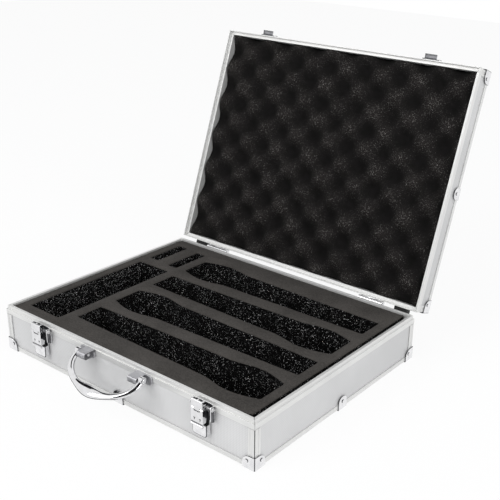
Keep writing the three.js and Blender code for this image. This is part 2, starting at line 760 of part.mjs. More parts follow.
const hingeRod = (x0, x1, radius) => rod(x0, x1, HINGE_Y, HINGE_Z, radius);

function hingeStop(x) {
  // Height of the open lid leaf's outer face at a distance behind the hinge axis
  const offset = leafOuter - HINGE_Y;
  const leafHeight = (behind) => {
    const along = (behind - offset * Math.cos(OPEN_ANGLE)) / Math.sin(OPEN_ANGLE);
    return along * Math.cos(OPEN_ANGLE) - offset * Math.sin(OPEN_ANGLE);
  };
  const near = offset - HINGE_LEAF / 2;
  const far = HINGE_STOP_REACH;
  const outline = [
    [near, BASE_HEIGHT - HINGE_LEAF_HEIGHT + FIT - HINGE_Z],
    [far, leafHeight(far) - FIT - HINGE_STOP_LIP],
    [far, leafHeight(far) - FIT],
    [knuckleReach, leafHeight(knuckleReach) - FIT],
    [near, -knuckleReach],
  ];
  return slab(outline, HINGE_STOP_WIDTH).applyMatrix4(ACROSS_REAR).translate(x, HINGE_Y, HINGE_Z);
}

function hingeRivets(centre, z) {
  const spread = HINGE_WIDTH / 2 - HINGE_RIVET_INSET;
  return [-1, 0, 1].map((column) =>
    reflected(rivetHead(centre + column * spread, -leafOuter, z), 1, -1, 1));
}

function hingeLeaf(centre, z0, z1, knuckles, reliefs, extras, rivetZ) {
  const half = HINGE_WIDTH / 2;
  const plate = box(centre - half, centre + half, leafInner, leafOuter, z0, z1);
  const solids = knuckles.map(([x0, x1]) => hingeRod(x0, x1, HINGE_KNUCKLE_RADIUS));
  const relief = ([x0, x1]) => box(
    x0,
    x1,
    leafInner - 1,
    HINGE_Y + knuckleReach,
    HINGE_Z - knuckleReach,
    HINGE_Z + knuckleReach,
  );
  const bore = hingeRod(centre - HINGE_WIDTH, centre + HINGE_WIDTH, HINGE_PIN_RADIUS + FIT);
  const rivets = hingeRivets(centre, rivetZ);
  return cut(join(plate, ...solids, ...extras, ...rivets), ...reliefs.map(relief), bore);
}

function buildHinge(label, centre) {
  const x0 = centre - HINGE_WIDTH / 2;
  const x1 = centre + HINGE_WIDTH / 2;
  const left = x0 + knuckleWidth;
  const right = x1 - knuckleWidth;
  const baseLeaf = hingeLeaf(
    centre,
    BASE_HEIGHT - HINGE_LEAF_HEIGHT,
    HINGE_Z,
    [[x0, left], [right, x1]],
    [[left, right]],
    [hingeStop(x0), hingeStop(x1 - HINGE_STOP_WIDTH)],
    BASE_HEIGHT - HINGE_RIVET_OFFSET,
  );
  const lidLeaf = hingeLeaf(
    centre,
    HINGE_Z,
    BASE_HEIGHT + HINGE_LEAF_HEIGHT + HINGE_AXIS_UP,
    [[left + SLIDE, right - SLIDE]],
    [[x0 - 1, left + SLIDE], [right - SLIDE, x1 + 1]],
    [],
    BASE_HEIGHT + HINGE_AXIS_UP + HINGE_RIVET_OFFSET,
  );
  addPiece(`hinge_base_leaf_${label}`, baseLeaf, 'steel');
  addLidPiece(`hinge_lid_leaf_${label}`, lidLeaf, 'steel');
  const pin = hingeRod(x0 - HINGE_PIN_OVERHANG, x1 + HINGE_PIN_OVERHANG, HINGE_PIN_RADIUS);
  addPiece(`hinge_pin_${label}`, pin, 'steel');
}

// Rubber feet, for standing the closed case on its hinge side
function foot(x, z) {
  const inner = REAR_Y - WALL_INSET + FIT;
  const outline = rectangle(
    -FOOT_LENGTH / 2,
    FOOT_LENGTH / 2,
    -FOOT_HEIGHT / 2,
    FOOT_HEIGHT / 2,
    FOOT_CHAMFER,
  );
  const block = slab(outline, REAR_Y + FOOT_PROUD - inner, 2);
  return block.rotateX(-Math.PI / 2).translate(x, inner, z);
}

for (const [label, sign] of PAIR) {
  const footX = sign * (CASE_WIDTH / 2 - FOOT_INSET);
  buildHinge(label, sign * (CASE_WIDTH / 2 - HINGE_INSET));
  addPiece(`base_rear_foot_${label}`, foot(footX, BASE_FOOT_Z), 'rubber');
  addLidPiece(`lid_rear_foot_${label}`, foot(footX, up(LID_FOOT_ABOVE_PARTING)), 'rubber');
}

// Handle: brackets on the front wall, pins, and a cast bail with a swollen grip
const handleY = out(HANDLE_PIVOT_OUT);
const handleZ = up(HANDLE_PIVOT_UP);
const blockEnd = BRACKET_INNER_X + BRACKET_BLOCK_WIDTH;
const eyeInner = blockEnd + SLIDE;
const eyeOuter = eyeInner + BAIL_EYE_WIDTH;
const bailHalfWidth = (eyeInner + eyeOuter) / 2;
const bracketTop = up(BRACKET_TOP_UP);

const handleRod = (x0, x1, radius, sides = 12) => rod(x0, x1, handleY, handleZ, radius, sides);

function handleBracket() {
  const plate = frontSlab(rectangle(
    BRACKET_INNER_X,
    BRACKET_INNER_X + BRACKET_PLATE_WIDTH,
    bracketTop - BRACKET_PLATE_HEIGHT,
    bracketTop,
    BRACKET_ROUND,
  ), FIT, FIT + BRACKET_PLATE_THICKNESS);
  const blockBottom = bracketTop - BRACKET_BLOCK_HEIGHT;
  const block = crossSlab([
    [FIT, blockBottom],
    [BRACKET_PROUD, blockBottom, BRACKET_BLOCK_ROUND],
    [BRACKET_PROUD, bracketTop, BRACKET_BLOCK_ROUND],
    [FIT, bracketTop],
  ], BRACKET_INNER_X, blockEnd, 3);
  const bore = handleRod(BRACKET_INNER_X - 1, blockEnd + 1, HANDLE_PIN_RADIUS + FIT);
  return cut(join(plate, block), bore);
}

function handlePin() {
  const headStart = eyeOuter + SLIDE;
  const headEnd = headStart + HANDLE_PIN_HEAD;
  const shank = handleRod(BRACKET_INNER_X, headEnd - HANDLE_PIN_HEAD / 2, HANDLE_PIN_RADIUS);
  return join(shank, handleRod(headStart, headEnd, HANDLE_PIN_HEAD_RADIUS));
}

// The bail's centreline in its own plane: across, and away from the pivots
function bailCentre(turn) {
  const eased = (value) => Math.sign(value) * Math.abs(value) ** BAIL_SQUARENESS;
  return {
    across: -bailHalfWidth * eased(Math.cos(Math.PI * turn)),
    away: BAIL_STRAIGHT + (BAIL_REACH - BAIL_STRAIGHT) * eased(Math.sin(Math.PI * turn)),
  };
}

function bailBar() {
  const tilt = THREE.MathUtils.degToRad(HANDLE_REST_ANGLE);
  const away = new THREE.Vector3(0, -Math.sin(tilt), -Math.cos(tilt));
  const normal = new THREE.Vector3(0, -Math.cos(tilt), Math.sin(tilt));
  const pivot = new THREE.Vector3(0, handleY, handleZ);
  const stations = [{ across: -bailHalfWidth, away: 0 }];
  for (let step = 0; step <= BAIL_STEPS; step += 1) {
    stations.push(bailCentre(step / BAIL_STEPS));
  }
  stations.push({ across: bailHalfWidth, away: 0 });
  const rings = stations.map((station, n) => {
    const before = stations[Math.max(n - 1, 0)];
    const after = stations[Math.min(n + 1, stations.length - 1)];
    const along = new THREE.Vector2(after.across - before.across, after.away - before.away);
    along.normalize();
    const fromMiddle = Math.min(Math.abs(station.across) / GRIP_HALF_LENGTH, 1);
    const swell = 0.5 + 0.5 * Math.cos(Math.PI * fromMiddle);
    const half = THREE.MathUtils.lerp(BAIL_ARM_HALF, GRIP_HALF, swell);
    const thick = THREE.MathUtils.lerp(BAIL_ARM_HALF_THICKNESS, GRIP_HALF_THICKNESS, swell);
    return Array.from({ length: BAIL_SIDES }, (_, side) => {
      const angle = (2 * Math.PI * side) / BAIL_SIDES;
      const point = pivot.clone()
        .addScaledVector(away, station.away + half * Math.cos(angle) * along.x)
        .addScaledVector(normal, thick * Math.sin(angle));
      point.x = station.across - half * Math.cos(angle) * along.y;
      return point.toArray();
    });
  });
  return loft(rings);
}

function handleBail() {
  const blockReach = Math.hypot(
    BRACKET_PROUD - HANDLE_PIVOT_OUT,
    handleZ - bracketTop + BRACKET_BLOCK_HEIGHT,
  ) + SLIDE;
  const eye = handleRod(eyeInner, eyeOuter, BAIL_EYE_RADIUS, 16);
  const tools = [
    handleRod(BRACKET_INNER_X, eyeOuter + BAIL_EYE_WIDTH, HANDLE_PIN_RADIUS + FIT),
    handleRod(BRACKET_INNER_X, eyeInner, blockReach, 24),
    handleRod(eyeOuter, eyeOuter + BAIL_EYE_WIDTH, BAIL_EYE_RADIUS + FIT, 16),
  ];
  return cut(join(bailBar(), eye, toOtherSide(eye)), ...tools, ...tools.map(toOtherSide));
}

addPiece('handle_bail', handleBail(), 'chrome');
addPiece('handle_bracket_left', toOtherSide(handleBracket()), 'chrome');
addPiece('handle_bracket_right', handleBracket(), 'chrome');
addPiece('handle_pin_left', toOtherSide(handlePin()), 'steel');
addPiece('handle_pin_right', handlePin(), 'steel');

// Latches: a pressed plate with cheeks, a lever, a claw, two pins and a torsion spring
const plateFront = FIT + LATCH_SHEET;
const flapInner = FLAP_PROUD - LATCH_SHEET;
const leverZ = up(LEVER_PIVOT_UP);
const clawZ = up(CLAW_PIVOT_UP);
const clawTop = up(CLAW_TOP_UP);

const leverRod = (x0, x1, radius, sides = 12) =>
  rod(x0, x1, out(LEVER_PIVOT_OUT), leverZ, radius, sides);
const clawRod = (x0, x1, radius, sides = 12) =>
  rod(x0, x1, out(CLAW_PIVOT_OUT), clawZ, radius, sides);
const leverBore = () =>
  leverRod(-PLATE_LEFT_REACH - 1, PLATE_RIGHT_REACH + 1, LEVER_PIN_RADIUS + LATCH_BORE_CLEARANCE);
const clawBore = () =>
  clawRod(-PLATE_LEFT_REACH, PLATE_LEFT_REACH, CLAW_PIN_RADIUS + LATCH_BORE_CLEARANCE, 10);

function latchPlate() {
  const plateBottom = up(PLATE_BOTTOM_UP);
  const plateTop = up(PLATE_TOP_UP);
  const plate = frontSlab([
    [-PLATE_LEFT_REACH, plateBottom],
    [PLATE_RIGHT_REACH, plateBottom],
    [PLATE_RIGHT_REACH, plateTop, PLATE_ROUND],
    [-PLATE_LEFT_REACH, plateTop, PLATE_ROUND],
  ], FIT, plateFront);
  const bodyBottom = up(LATCH_BODY_BOTTOM_UP);
  const bodyTop = up(LATCH_BODY_TOP_UP);
  const body = frontSlab([
    [-LATCH_BODY_HALF_WIDTH, bodyBottom, LATCH_BODY_ROUND],
    [LATCH_BODY_HALF_WIDTH, bodyBottom, LATCH_BODY_ROUND],
    [LATCH_BODY_HALF_WIDTH, bodyTop],
    [-LATCH_BODY_HALF_WIDTH, bodyTop],
  ], FIT, LATCH_BODY_PROUD);
  const neck = frontBox(
    -LATCH_BODY_HALF_WIDTH,
    LATCH_BODY_HALF_WIDTH,
    FIT,
    plateFront,
    bodyTop - LATCH_SHEET,
    plateBottom + LATCH_SHEET,
  );
  const cheek = (outer) => crossSlab([
    [FIT, plateBottom],
    [CHEEK_PROUD, plateBottom + CHEEK_SLOPE, CHEEK_ROUND],
    [CHEEK_PROUD, up(CHEEK_TOP_UP), CHEEK_ROUND],
    [FIT, up(CHEEK_TOP_UP) - CHEEK_SLOPE],
  ], outer - LATCH_SHEET, outer, 3);
  const cheeks = [cheek(PLATE_RIGHT_REACH), toOtherSide(cheek(PLATE_LEFT_REACH))];
  return cut(join(plate, body, neck, ...cheeks), leverBore());
}

function leverPin() {
  const left = -PLATE_LEFT_REACH - FIT;
  const right = PLATE_RIGHT_REACH + FIT;
  const sunk = LEVER_PIN_HEAD / 2;
  return join(
    leverRod(left - sunk, right + sunk, LEVER_PIN_RADIUS),
    leverRod(left - LEVER_PIN_HEAD, left, LEVER_EYE_RADIUS),
    leverRod(right, right + LEVER_PIN_HEAD, LEVER_EYE_RADIUS),
  );
}

// A point just inside an eye or knuckle, where the lever's web runs into it
function inEye(pivotOut, pivotZ, radius, degrees) {
  const turn = THREE.MathUtils.degToRad(degrees);
  const reach = radius - FIT;
  return [pivotOut + reach * Math.cos(turn), pivotZ + reach * Math.sin(turn)];
}

function latchLever() {
  const bottom = up(LEVER_BOTTOM_UP);
  const flapTop = clawZ - CLAW_KNUCKLE_RADIUS - SLIDE;
  const flap = frontBox(-FLAP_HALF_WIDTH, FLAP_HALF_WIDTH, flapInner, FLAP_PROUD, bottom, flapTop);
  const lip = rod(-FLAP_HALF_WIDTH, FLAP_HALF_WIDTH, out(FLAP_PROUD), bottom, LEVER_LIP_RADIUS, 10);
  const webBottom = up(LEVER_WEB_BOTTOM_UP);
  const web = crossSlab([
    [flapInner + LATCH_SHEET / 2, webBottom],
    [flapInner + LATCH_SHEET / 2, clawZ],
    inEye(CLAW_PIVOT_OUT, clawZ, CLAW_KNUCKLE_RADIUS, 113),
    inEye(LEVER_PIVOT_OUT, leverZ, LEVER_EYE_RADIUS, 30),
    inEye(LEVER_PIVOT_OUT, leverZ, LEVER_EYE_RADIUS, 204),
    [LEVER_PIVOT_OUT, webBottom],
  ], FLAP_HALF_WIDTH - LEVER_WEB, FLAP_HALF_WIDTH);
  const eye = leverRod(FLAP_HALF_WIDTH - LEVER_WEB, FLAP_HALF_WIDTH, LEVER_EYE_RADIUS, 16);
  const knuckleInner = CLAW_KNUCKLE_HALF + SLIDE;
  const knuckle = clawRod(knuckleInner, FLAP_HALF_WIDTH, CLAW_KNUCKLE_RADIUS);
  const strap = frontBox(
    knuckleInner,
    FLAP_HALF_WIDTH,
    flapInner,
    FLAP_PROUD,
    flapTop - SLIDE,
    clawZ,
  );
  const half = [web, eye, knuckle, strap];
  return cut(join(flap, lip, ...half, ...half.map(toOtherSide)), clawBore(), leverBore());
}

function latchClaw() {
  const wideBottom = clawZ + CLAW_WIDE_ABOVE_PIVOT;
  const plate = (half, z0, z1) => frontBox(-half, half, flapInner, FLAP_PROUD, z0, z1);
  const hook = frontBox(
    -FLAP_HALF_WIDTH,
    FLAP_HALF_WIDTH,
    FLAP_PROUD - CLAW_HOOK_REACH,
    FLAP_PROUD,
    clawTop - LATCH_SHEET,
    clawTop,
  );
  const claw = join(
    clawRod(-CLAW_KNUCKLE_HALF, CLAW_KNUCKLE_HALF, CLAW_KNUCKLE_RADIUS),
    plate(CLAW_KNUCKLE_HALF, clawZ, wideBottom + SLIDE),
    plate(FLAP_HALF_WIDTH, wideBottom, clawTop),
    hook,
  );
  return cut(claw, clawBore());
}

// One wire: a leg against the plate, a coil round the lever pin, and a leg towards the lever
function springCentreline() {
  const coilLength = SPRING_TURNS * SPRING_PITCH;
  const start = (PLATE_RIGHT_REACH - LATCH_SHEET + FLAP_HALF_WIDTH - coilLength) / 2;
  const place = (x, distance, height) =>
    new THREE.Vector3(x, out(LEVER_PIVOT_OUT + distance), leverZ + height);
  const points = [
    place(start, -SPRING_RADIUS, -SPRING_LEG),
    place(start, -SPRING_RADIUS, -SPRING_LEG / 2),
  ];
  const steps = SPRING_TURNS * 8;
  for (let n = 0; n <= steps; n += 1) {
    const angle = (2 * Math.PI * SPRING_TURNS * n) / steps;
    points.push(place(
      start + (coilLength * n) / steps,
      -SPRING_RADIUS * Math.cos(angle),
      SPRING_RADIUS * Math.sin(angle),
    ));
  }
  points.push(place(start + coilLength, SPRING_RADIUS, -SPRING_LEG));
  return points;
}

function latchSpring() {
  const centres = springCentreline();
  const sides = 5;
  let normal = new THREE.Vector3(1, 0, 0);
  const rings = centres.map((centre, n) => {
    const before = centres[Math.max(n - 1, 0)];
    const after = centres[Math.min(n + 1, centres.length - 1)];
    const along = after.clone().sub(before).normalize();
    normal = normal.addScaledVector(along, -normal.dot(along)).normalize();
    const other = along.clone().cross(normal);
    return Array.from({ length: sides }, (_, side) => {
      const angle = (2 * Math.PI * side) / sides;
      return centre.clone()
        .addScaledVector(normal, SPRING_WIRE_RADIUS * Math.cos(angle))
        .addScaledVector(other, SPRING_WIRE_RADIUS * Math.sin(angle))
        .toArray();
    });
  });
  return loft(rings);
}

// The least gap between any two stretches of the wire that do not follow each other
function springGap() {
  const centres = springCentreline();
  let least = Infinity;
  centres.forEach((centre, i) => {
    for (let j = i + 4; j < centres.length; j += 1) {
      least = Math.min(least, centre.distanceTo(centres[j]) - 2 * SPRING_WIRE_RADIUS);
    }
  });
  return least;
}

console.log(`least gap of a latch spring to itself: ${springGap().toFixed(2)} mm`);

// Keeper on the lid's front wall, with a down-turned lip for the claw to pull on
function keeper() {
  const ledgeTop = clawTop - LATCH_SHEET - CLOSED_GAP;
  const plateBottom = up(KEEPER_PLATE_BOTTOM_UP);
  const plateTop = plateBottom + KEEPER_PLATE_HEIGHT;
  const plate = frontSlab(rectangle(
    -KEEPER_PLATE_HALF_WIDTH,
    KEEPER_PLATE_HALF_WIDTH,
    plateBottom,
    plateTop,
    KEEPER_PLATE_ROUND,
  ), FIT, FIT + KEEPER_SHEET);
  const ledge = frontBox(
    -KEEPER_HALF_WIDTH,
    KEEPER_HALF_WIDTH,
    FIT,
    KEEPER_PROUD,
    ledgeTop - KEEPER_SHEET,
    ledgeTop,
  );
  const lip = frontBox(
    -KEEPER_HALF_WIDTH,
    KEEPER_HALF_WIDTH,
    KEEPER_PROUD - KEEPER_SHEET,
    KEEPER_PROUD,
    ledgeTop - KEEPER_LIP_DROP,
    ledgeTop,
  );
  const end = crossSlab([
    [FIT, ledgeTop],
    [FIT, ledgeTop - KEEPER_SHEET],
    [KEEPER_PROUD, ledgeTop - KEEPER_LIP_DROP],
    [KEEPER_PROUD, ledgeTop],
  ], KEEPER_HALF_WIDTH - KEEPER_SHEET, KEEPER_HALF_WIDTH);
  const rivets = [-1, 1].map((column) => rivetHead(
    column * KEEPER_RIVET_X,
    out(FIT + KEEPER_SHEET),
    (plateBottom + plateTop) / 2,
  ));
  return join(plate, ledge, lip, end, toOtherSide(end), ...rivets);
}

for (const [label, sign] of PAIR) {
  const x = sign * (CASE_WIDTH / 2 - LATCH_INSET);
  const pinHalf = FLAP_HALF_WIDTH - SLIDE / 2;
  addPiece(`latch_plate_${label}`, latchPlate().translate(x, 0, 0), 'steel');
  addPiece(`latch_lever_pin_${label}`, leverPin().translate(x, 0, 0), 'steel');
  addPiece(`latch_spring_${label}`, latchSpring().translate(x, 0, 0), 'steel');
  addPiece(`latch_lever_${label}`, latchLever().translate(x, 0, 0), 'chrome');
  const clawPin = clawRod(-pinHalf, pinHalf, CLAW_PIN_RADIUS, 8);
  addPiece(`latch_claw_pin_${label}`, clawPin.translate(x, 0, 0), 'steel');
  addPiece(`latch_claw_${label}`, latchClaw().translate(x, 0, 0), 'chrome');
  addLidPiece(`keeper_${label}`, keeper().translate(x, 0, 0), 'chrome');
}

export default part;
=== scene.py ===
# Aluminium-framed carrying case for four handheld microphones, its lid standing open.
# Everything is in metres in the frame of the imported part: the origin is the centre of the
# bottom panel's underside, +X is to the user's right and +Y runs from the latches to the hinges.
import math

import bmesh
import bpy
from mathutils import Matrix, Vector, noise


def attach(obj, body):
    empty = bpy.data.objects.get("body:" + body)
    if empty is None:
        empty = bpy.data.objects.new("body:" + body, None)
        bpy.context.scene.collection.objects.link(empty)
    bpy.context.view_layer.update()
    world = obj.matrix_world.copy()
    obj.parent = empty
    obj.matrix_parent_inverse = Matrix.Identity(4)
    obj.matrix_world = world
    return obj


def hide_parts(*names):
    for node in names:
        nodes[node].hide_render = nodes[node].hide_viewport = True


MM = 0.001


def mm(*lengths):
    return tuple(length * MM for length in lengths)


# Closed shells
CASE_WIDTH, CASE_DEPTH, BASE_HEIGHT, LID_HEIGHT = mm(380, 291, 50.15, 28.95)
LID_OPEN_ANGLE = 110
LID_TOP = BASE_HEIGHT + LID_HEIGHT
FRONT_Y, REAR_Y = -CASE_DEPTH / 2, CASE_DEPTH / 2
HINGE_Y = REAR_Y + 3.9 * MM
HINGE_Z = BASE_HEIGHT + 1.9 * MM

# Clearances
FIT, SLIDE = mm(0.3, 0.4)

# Panels and aluminium profiles
SKIN, WALL, RIM_LEG, RIM_LEG_HEIGHT, RIM_WEB = mm(0.95, 2.6, 0.8, 10, 1.4)
WALL_INSET = SKIN + FIT
RIM_WIDTH = WALL_INSET + WALL + FIT + RIM_LEG
BASE_BAND, LEDGE, TONGUE = mm(6, 1.5, 4.2)
LID_RECESS = LID_HEIGHT - TONGUE - 0.5 * MM
LID_BAND_BOTTOM = LID_RECESS - RIM_WEB - 2 * MM
LID_LIP = LEDGE - FIT
LID_LIP_TOP = LID_HEIGHT - 0.3 * MM
EDGE_HEIGHT, EDGE_WIDTH, POST_LEG, MITRE_GAP = mm(4.3, 8, 8.6, 0.2)
SHELL_LOW = -WALL_INSET
FLUTE = mm(3.3, 6.3)
FLUTE_DEPTH = 0.35 * MM

# Stamped caps, clips and rivets
CAP_SHEET, CAP_LENGTH, CAP_HEIGHT, CAP_ROUND = mm(0.8, 15, 14, 9)
CAP_OUT = FIT + CAP_SHEET
CAP_LOW = SHELL_LOW - CAP_OUT
CAP_FOLD, CLIP_FOLD = mm(1.4, 1.0)
CLIP_HALF, CLIP_HEIGHT, CLIP_FOOT, CLIP_ROUND = mm(7.2, 13, 12, 6.4)
RIVET_RADIUS, RIVET_DOME, RIVET_INSET, RIVET_HEIGHT = mm(2, 0.8, 9.2, 7)

# Foam, and the pockets cut through the block
FOAM_HALF_X, FOAM_HALF_Y = mm(184.7, 140.2)
PAD_BOTTOM, PAD_TOP, FOAM_BOTTOM, FOAM_TOP = mm(2.9, 8.9, 9.2, 52.55)
FOAM_X, FOAM_Y = mm(-184.7, 179.7), mm(-140.2, 136.6)
FOAM_LIP = 2.5 * MM  # height of the crushed edge
LIP_RINGS = (mm(1.5, 0.05), mm(0.8, 0.3), mm(0.35, 0.75), mm(0, 1.4))  # down and back
SHRUNK_RIGHT, SWOLLEN_REAR, SHRUNK_FRONT = mm(1.4, 3.2, 2.6)
FRONT_SHRINK_FROM, FRONT_SHRINK_OVER = mm(50, 110)
BOX_POCKETS = (
    (mm(-172.5, -122), mm(-123.7, 51.2)),
    (mm(-172.5, -157.5), mm(68.2, 123.6)),
    (mm(-136.8, -121.8), mm(65.6, 121)),
)
MIC_LEFT, MIC_LENGTH, MIC_REAR, MIC_PITCH = mm(-107.5, 274, 86.9, 59.133)
MIC_END_HALF, MIC_HEAD_HALF, MIC_NECK_HALF, MIC_TAIL_HALF = mm(19, 27, 21, 17.5)
MIC_HEAD_AT, MIC_NECK_AT = mm(37, 78)
LINING_CREST, LINING_BACK = mm(53.05, 76.2)
BUMP_CENTRE_X, BUMP_CENTRE_Y = mm(-19.3, -2.6)
BUMP_HALF_X, BUMP_HALF_Y, BUMP_HALF_HEIGHT = mm(26.2, 23.3, 6)

# Latches and handle, with distances out from the front and heights above the parting plane
LATCH_X, SHEET, LATCH_LEFT, LATCH_RIGHT = mm(123.8, 1, 10.2, 16.5)
ON_WALL = mm(-1.3, -0.3)  # a sheet that lies on the wall
PLATE_LOW, PLATE_TOP, BODY_HALF, BODY_OUT = mm(-17.3, 1.75, 9.8, 5.5)
BODY_LOW, BODY_TOP, CHEEK_OUT, CHEEK_TOP = mm(-37.2, -22.65, 6.3, 1.65)
CHEEK_SLOPE = 1.5 * MM
LEVER_OUT, LEVER_UP, LEVER_PIN, LEVER_EYE = mm(4.2, -1.95, 1.1, 2.3)
CLAW_OUT, CLAW_UP, CLAW_PIN, CLAW_KNUCKLE = mm(7.2, -5.95, 0.65, 1.7)
BORE_GAP = 0.3 * MM
FLAP_OUT, FLAP_IN, FLAP_HALF, WEB_IN, STRAP_IN = mm(8.7, 7.7, 7.8, 6.9, 4)
FLAP = (-FLAP_OUT, -FLAP_IN)
LIP_UP = -23.15 * MM
CLAW_TOP, HOOK_IN, NECK_HALF = mm(4.4, 5, 3.6)
HOLLOWS = mm(-6.6, -1, 0.6, 5.8)  # across the claw's hook
HOLLOW_FROM = -7.3 * MM
KEEPER_LOW, KEEPER_SHEET, KEEPER_HALF, KEEPER_OUT, KEEPER_LIP = mm(2.2, 0.9, 8, 6.6, 1.3)
KEEPER_TOP, KEEPER_RIVET_X, KEEPER_RIVET_UP = mm(3.1, 10.4, 6.975)
KEEPER_PLATE = mm(-1.2, -0.3)
LEDGE_ROOT, LEDGE_LIP = mm(-2.3, -4.9)  # the part of the ledge painted a lighter shade than its root and lip
HANDLE_OUT, HANDLE_UP, BAIL_HALF, BRACKET_IN = mm(9.5, -1.95, 48.7, 33)
HANDLE_Y = FRONT_Y - HANDLE_OUT
HANDLE_Z = BASE_HEIGHT + HANDLE_UP
HANDLE_ANGLE = 58
HANDLE_BORE, EYE_RADIUS, EYE_IN, EYE_END = mm(1.9, 4, 46.4, 51)
BRACKET_PROUD, BRACKET_BLOCK_LOW, BRACKET_TOP = mm(15.2, -6.6, 0.8)
BRACKET_REACH = math.hypot(5.7, 4.65) * MM + SLIDE

# Hinges and feet
LEAF_HALF, KNUCKLE_RADIUS, RELIEF, HINGE_RIVET_X = mm(17, 2.9, 3.3, 13)
MIDDLE_KNUCKLE = LEAF_HALF - 11.067 * MM
LEAF_Y = (REAR_Y + FIT, REAR_Y + 1.3 * MM)
LEAF_BACK = 2.6 * MM  # from the pin's axis to the back of the lid's leaf
FOOT_PROUD = 7 * MM

SIDES = ("front", "right", "back", "left")
CORNERS = ("front_left", "front_right", "back_right", "back_left")
PAIR = (("left", -1), ("right", 1))

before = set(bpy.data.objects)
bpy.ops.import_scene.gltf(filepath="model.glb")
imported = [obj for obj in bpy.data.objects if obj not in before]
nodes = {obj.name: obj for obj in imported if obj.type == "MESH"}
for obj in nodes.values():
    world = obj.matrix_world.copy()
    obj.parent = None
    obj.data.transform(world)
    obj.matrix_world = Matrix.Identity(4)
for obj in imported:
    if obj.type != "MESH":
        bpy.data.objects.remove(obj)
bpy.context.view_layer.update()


# Modelling by hand, in code

def only(piece):
    """Makes the piece the one selected and active object."""
    bpy.ops.object.select_all(action="DESELECT")
    piece.select_set(True)
    bpy.context.view_layer.objects.active = piece


def primitive(operator, name, **settings):
    """Adds one of Blender's primitives, with its place set into its mesh."""
    bpy.ops.object.select_all(action="DESELECT")
    operator(**settings)
    piece = bpy.context.active_object
    piece.name = name
    piece.data.name = name
    bpy.ops.object.transform_apply(location=True, rotation=True, scale=True)
    return piece


def block(name, *spans):
    return primitive(
        bpy.ops.mesh.primitive_cube_add,
        name,
        size=1,
        location=[(low + high) / 2 for low, high in spans],
        scale=[high - low for low, high in spans],
    )


def rod(name, x, y, z, radius, sides=32):
    """A round bar along X."""
    return primitive(
        bpy.ops.mesh.primitive_cylinder_add,
        name,
        vertices=sides,
        radius=radius,
        depth=x[1] - x[0],
        location=((x[0] + x[1]) / 2, y, z),
        rotation=(0, math.pi / 2, 0),
    )


def work(piece, kind, test, operator, **settings):
    """Runs an operator on the faces, edges or corners that pass the test."""
    only(piece)
    bpy.ops.object.mode_set(mode="EDIT")
    bpy.ops.mesh.select_mode(type=kind)
    bpy.ops.mesh.select_all(action="DESELECT")
    mesh = bmesh.from_edit_mesh(piece.data)
    for item in {"FACE": mesh.faces, "EDGE": mesh.edges, "VERT": mesh.verts}[kind]:
        if test(item):
            item.select_set(True)
    bmesh.update_edit_mesh(piece.data)
    operator(**settings)
    bpy.ops.object.mode_set(mode="OBJECT")


def everything(item):
    return True


def facing(direction, where=everything):
    """Picks the faces that look one way and whose middle passes the test."""
    aim = Vector(direction)
    return lambda face: face.normal.dot(aim) > 0.9 and where(face.calc_center_median())


def edges_at(where):
    """Picks the edges whose two ends both pass the test."""
    return lambda edge: all(where(corner.co) for corner in edge.verts)


def bars(axis, where):
    """Picks the edges along one axis whose ends pass the test."""
    def test(edge):
        ends = [corner.co for corner in edge.verts]
        apart = ends[1] - ends[0]
        return abs(apart[axis]) > 0.99 * apart.length and all(where(end) for end in ends)
    return test


def near(value, target):
    return abs(value - target) < 0.02 * MM


def slice_at(piece, point, normal, drop=False):
    """Cuts the mesh by a plane, and drops what lies past it where asked."""
    cut = {"plane_co": point, "plane_no": normal, "use_fill": drop, "clear_outer": drop}
    work(piece, "FACE", everything, bpy.ops.mesh.bisect, **cut)


def push(piece, test, offset):
    move = {"value": offset}
    work(piece, "FACE", test, bpy.ops.mesh.extrude_region_move, TRANSFORM_OT_translate=move)


def shift(piece, test, offset):
    work(piece, "VERT", lambda corner: test(corner.co), bpy.ops.transform.translate, value=offset)


def inset(piece, test, width, depth):
    work(piece, "FACE", test, bpy.ops.mesh.inset, thickness=width, depth=depth)


def take_off(piece, test):
    work(piece, "FACE", test, bpy.ops.mesh.delete, type="FACE")


def round_edges(piece, test, width, steps=3, kind="EDGE"):
    affect = {"EDGE": "EDGES", "VERT": "VERTICES"}[kind]
    bevel = {"offset": width, "segments": steps, "affect": affect}
    work(piece, kind, test, bpy.ops.mesh.bevel, **bevel)


def face_out(piece):
    work(piece, "FACE", everything, bpy.ops.mesh.remove_doubles, threshold=0.001 * MM)
    work(piece, "FACE", everything, bpy.ops.mesh.normals_make_consistent, inside=False)


def modify(piece, kind, **settings):
    """Adds one modifier and applies it."""
    only(piece)
    modifier = piece.modifiers.new(kind.title(), kind)
    for key, value in settings.items():
        setattr(modifier, key, value)
    bpy.ops.object.modifier_apply(modifier=modifier.name)


def put(piece, matrix):
    """Moves the finished mesh to its place; a reflection has its faces turned out again."""
    only(piece)
    piece.matrix_world = matrix
    bpy.ops.object.transform_apply(location=True, rotation=True, scale=True)
    if matrix.determinant() < 0:
        face_out(piece)


def new_object(name, data):
    piece = bpy.data.objects.new(name, data)
    bpy.context.scene.collection.objects.link(piece)
    return piece


def weld(piece, *others):
    """Joins solids that overlap into one."""
    for other in others:
        modify(piece, "BOOLEAN", operation="UNION", solver="EXACT", object=other)
        bpy.data.objects.remove(other)


def carve(piece, *cutters):
    for cutter in cutters:
        modify(piece, "BOOLEAN", operation="DIFFERENCE", solver="EXACT", object=cutter)
        bpy.data.objects.remove(cutter)


def smooth(piece, degrees):
    """Shades smoothly, apart from edges sharper than the angle."""
    only(piece)
    bpy.ops.object.shade_smooth_by_angle(angle=math.radians(degrees))


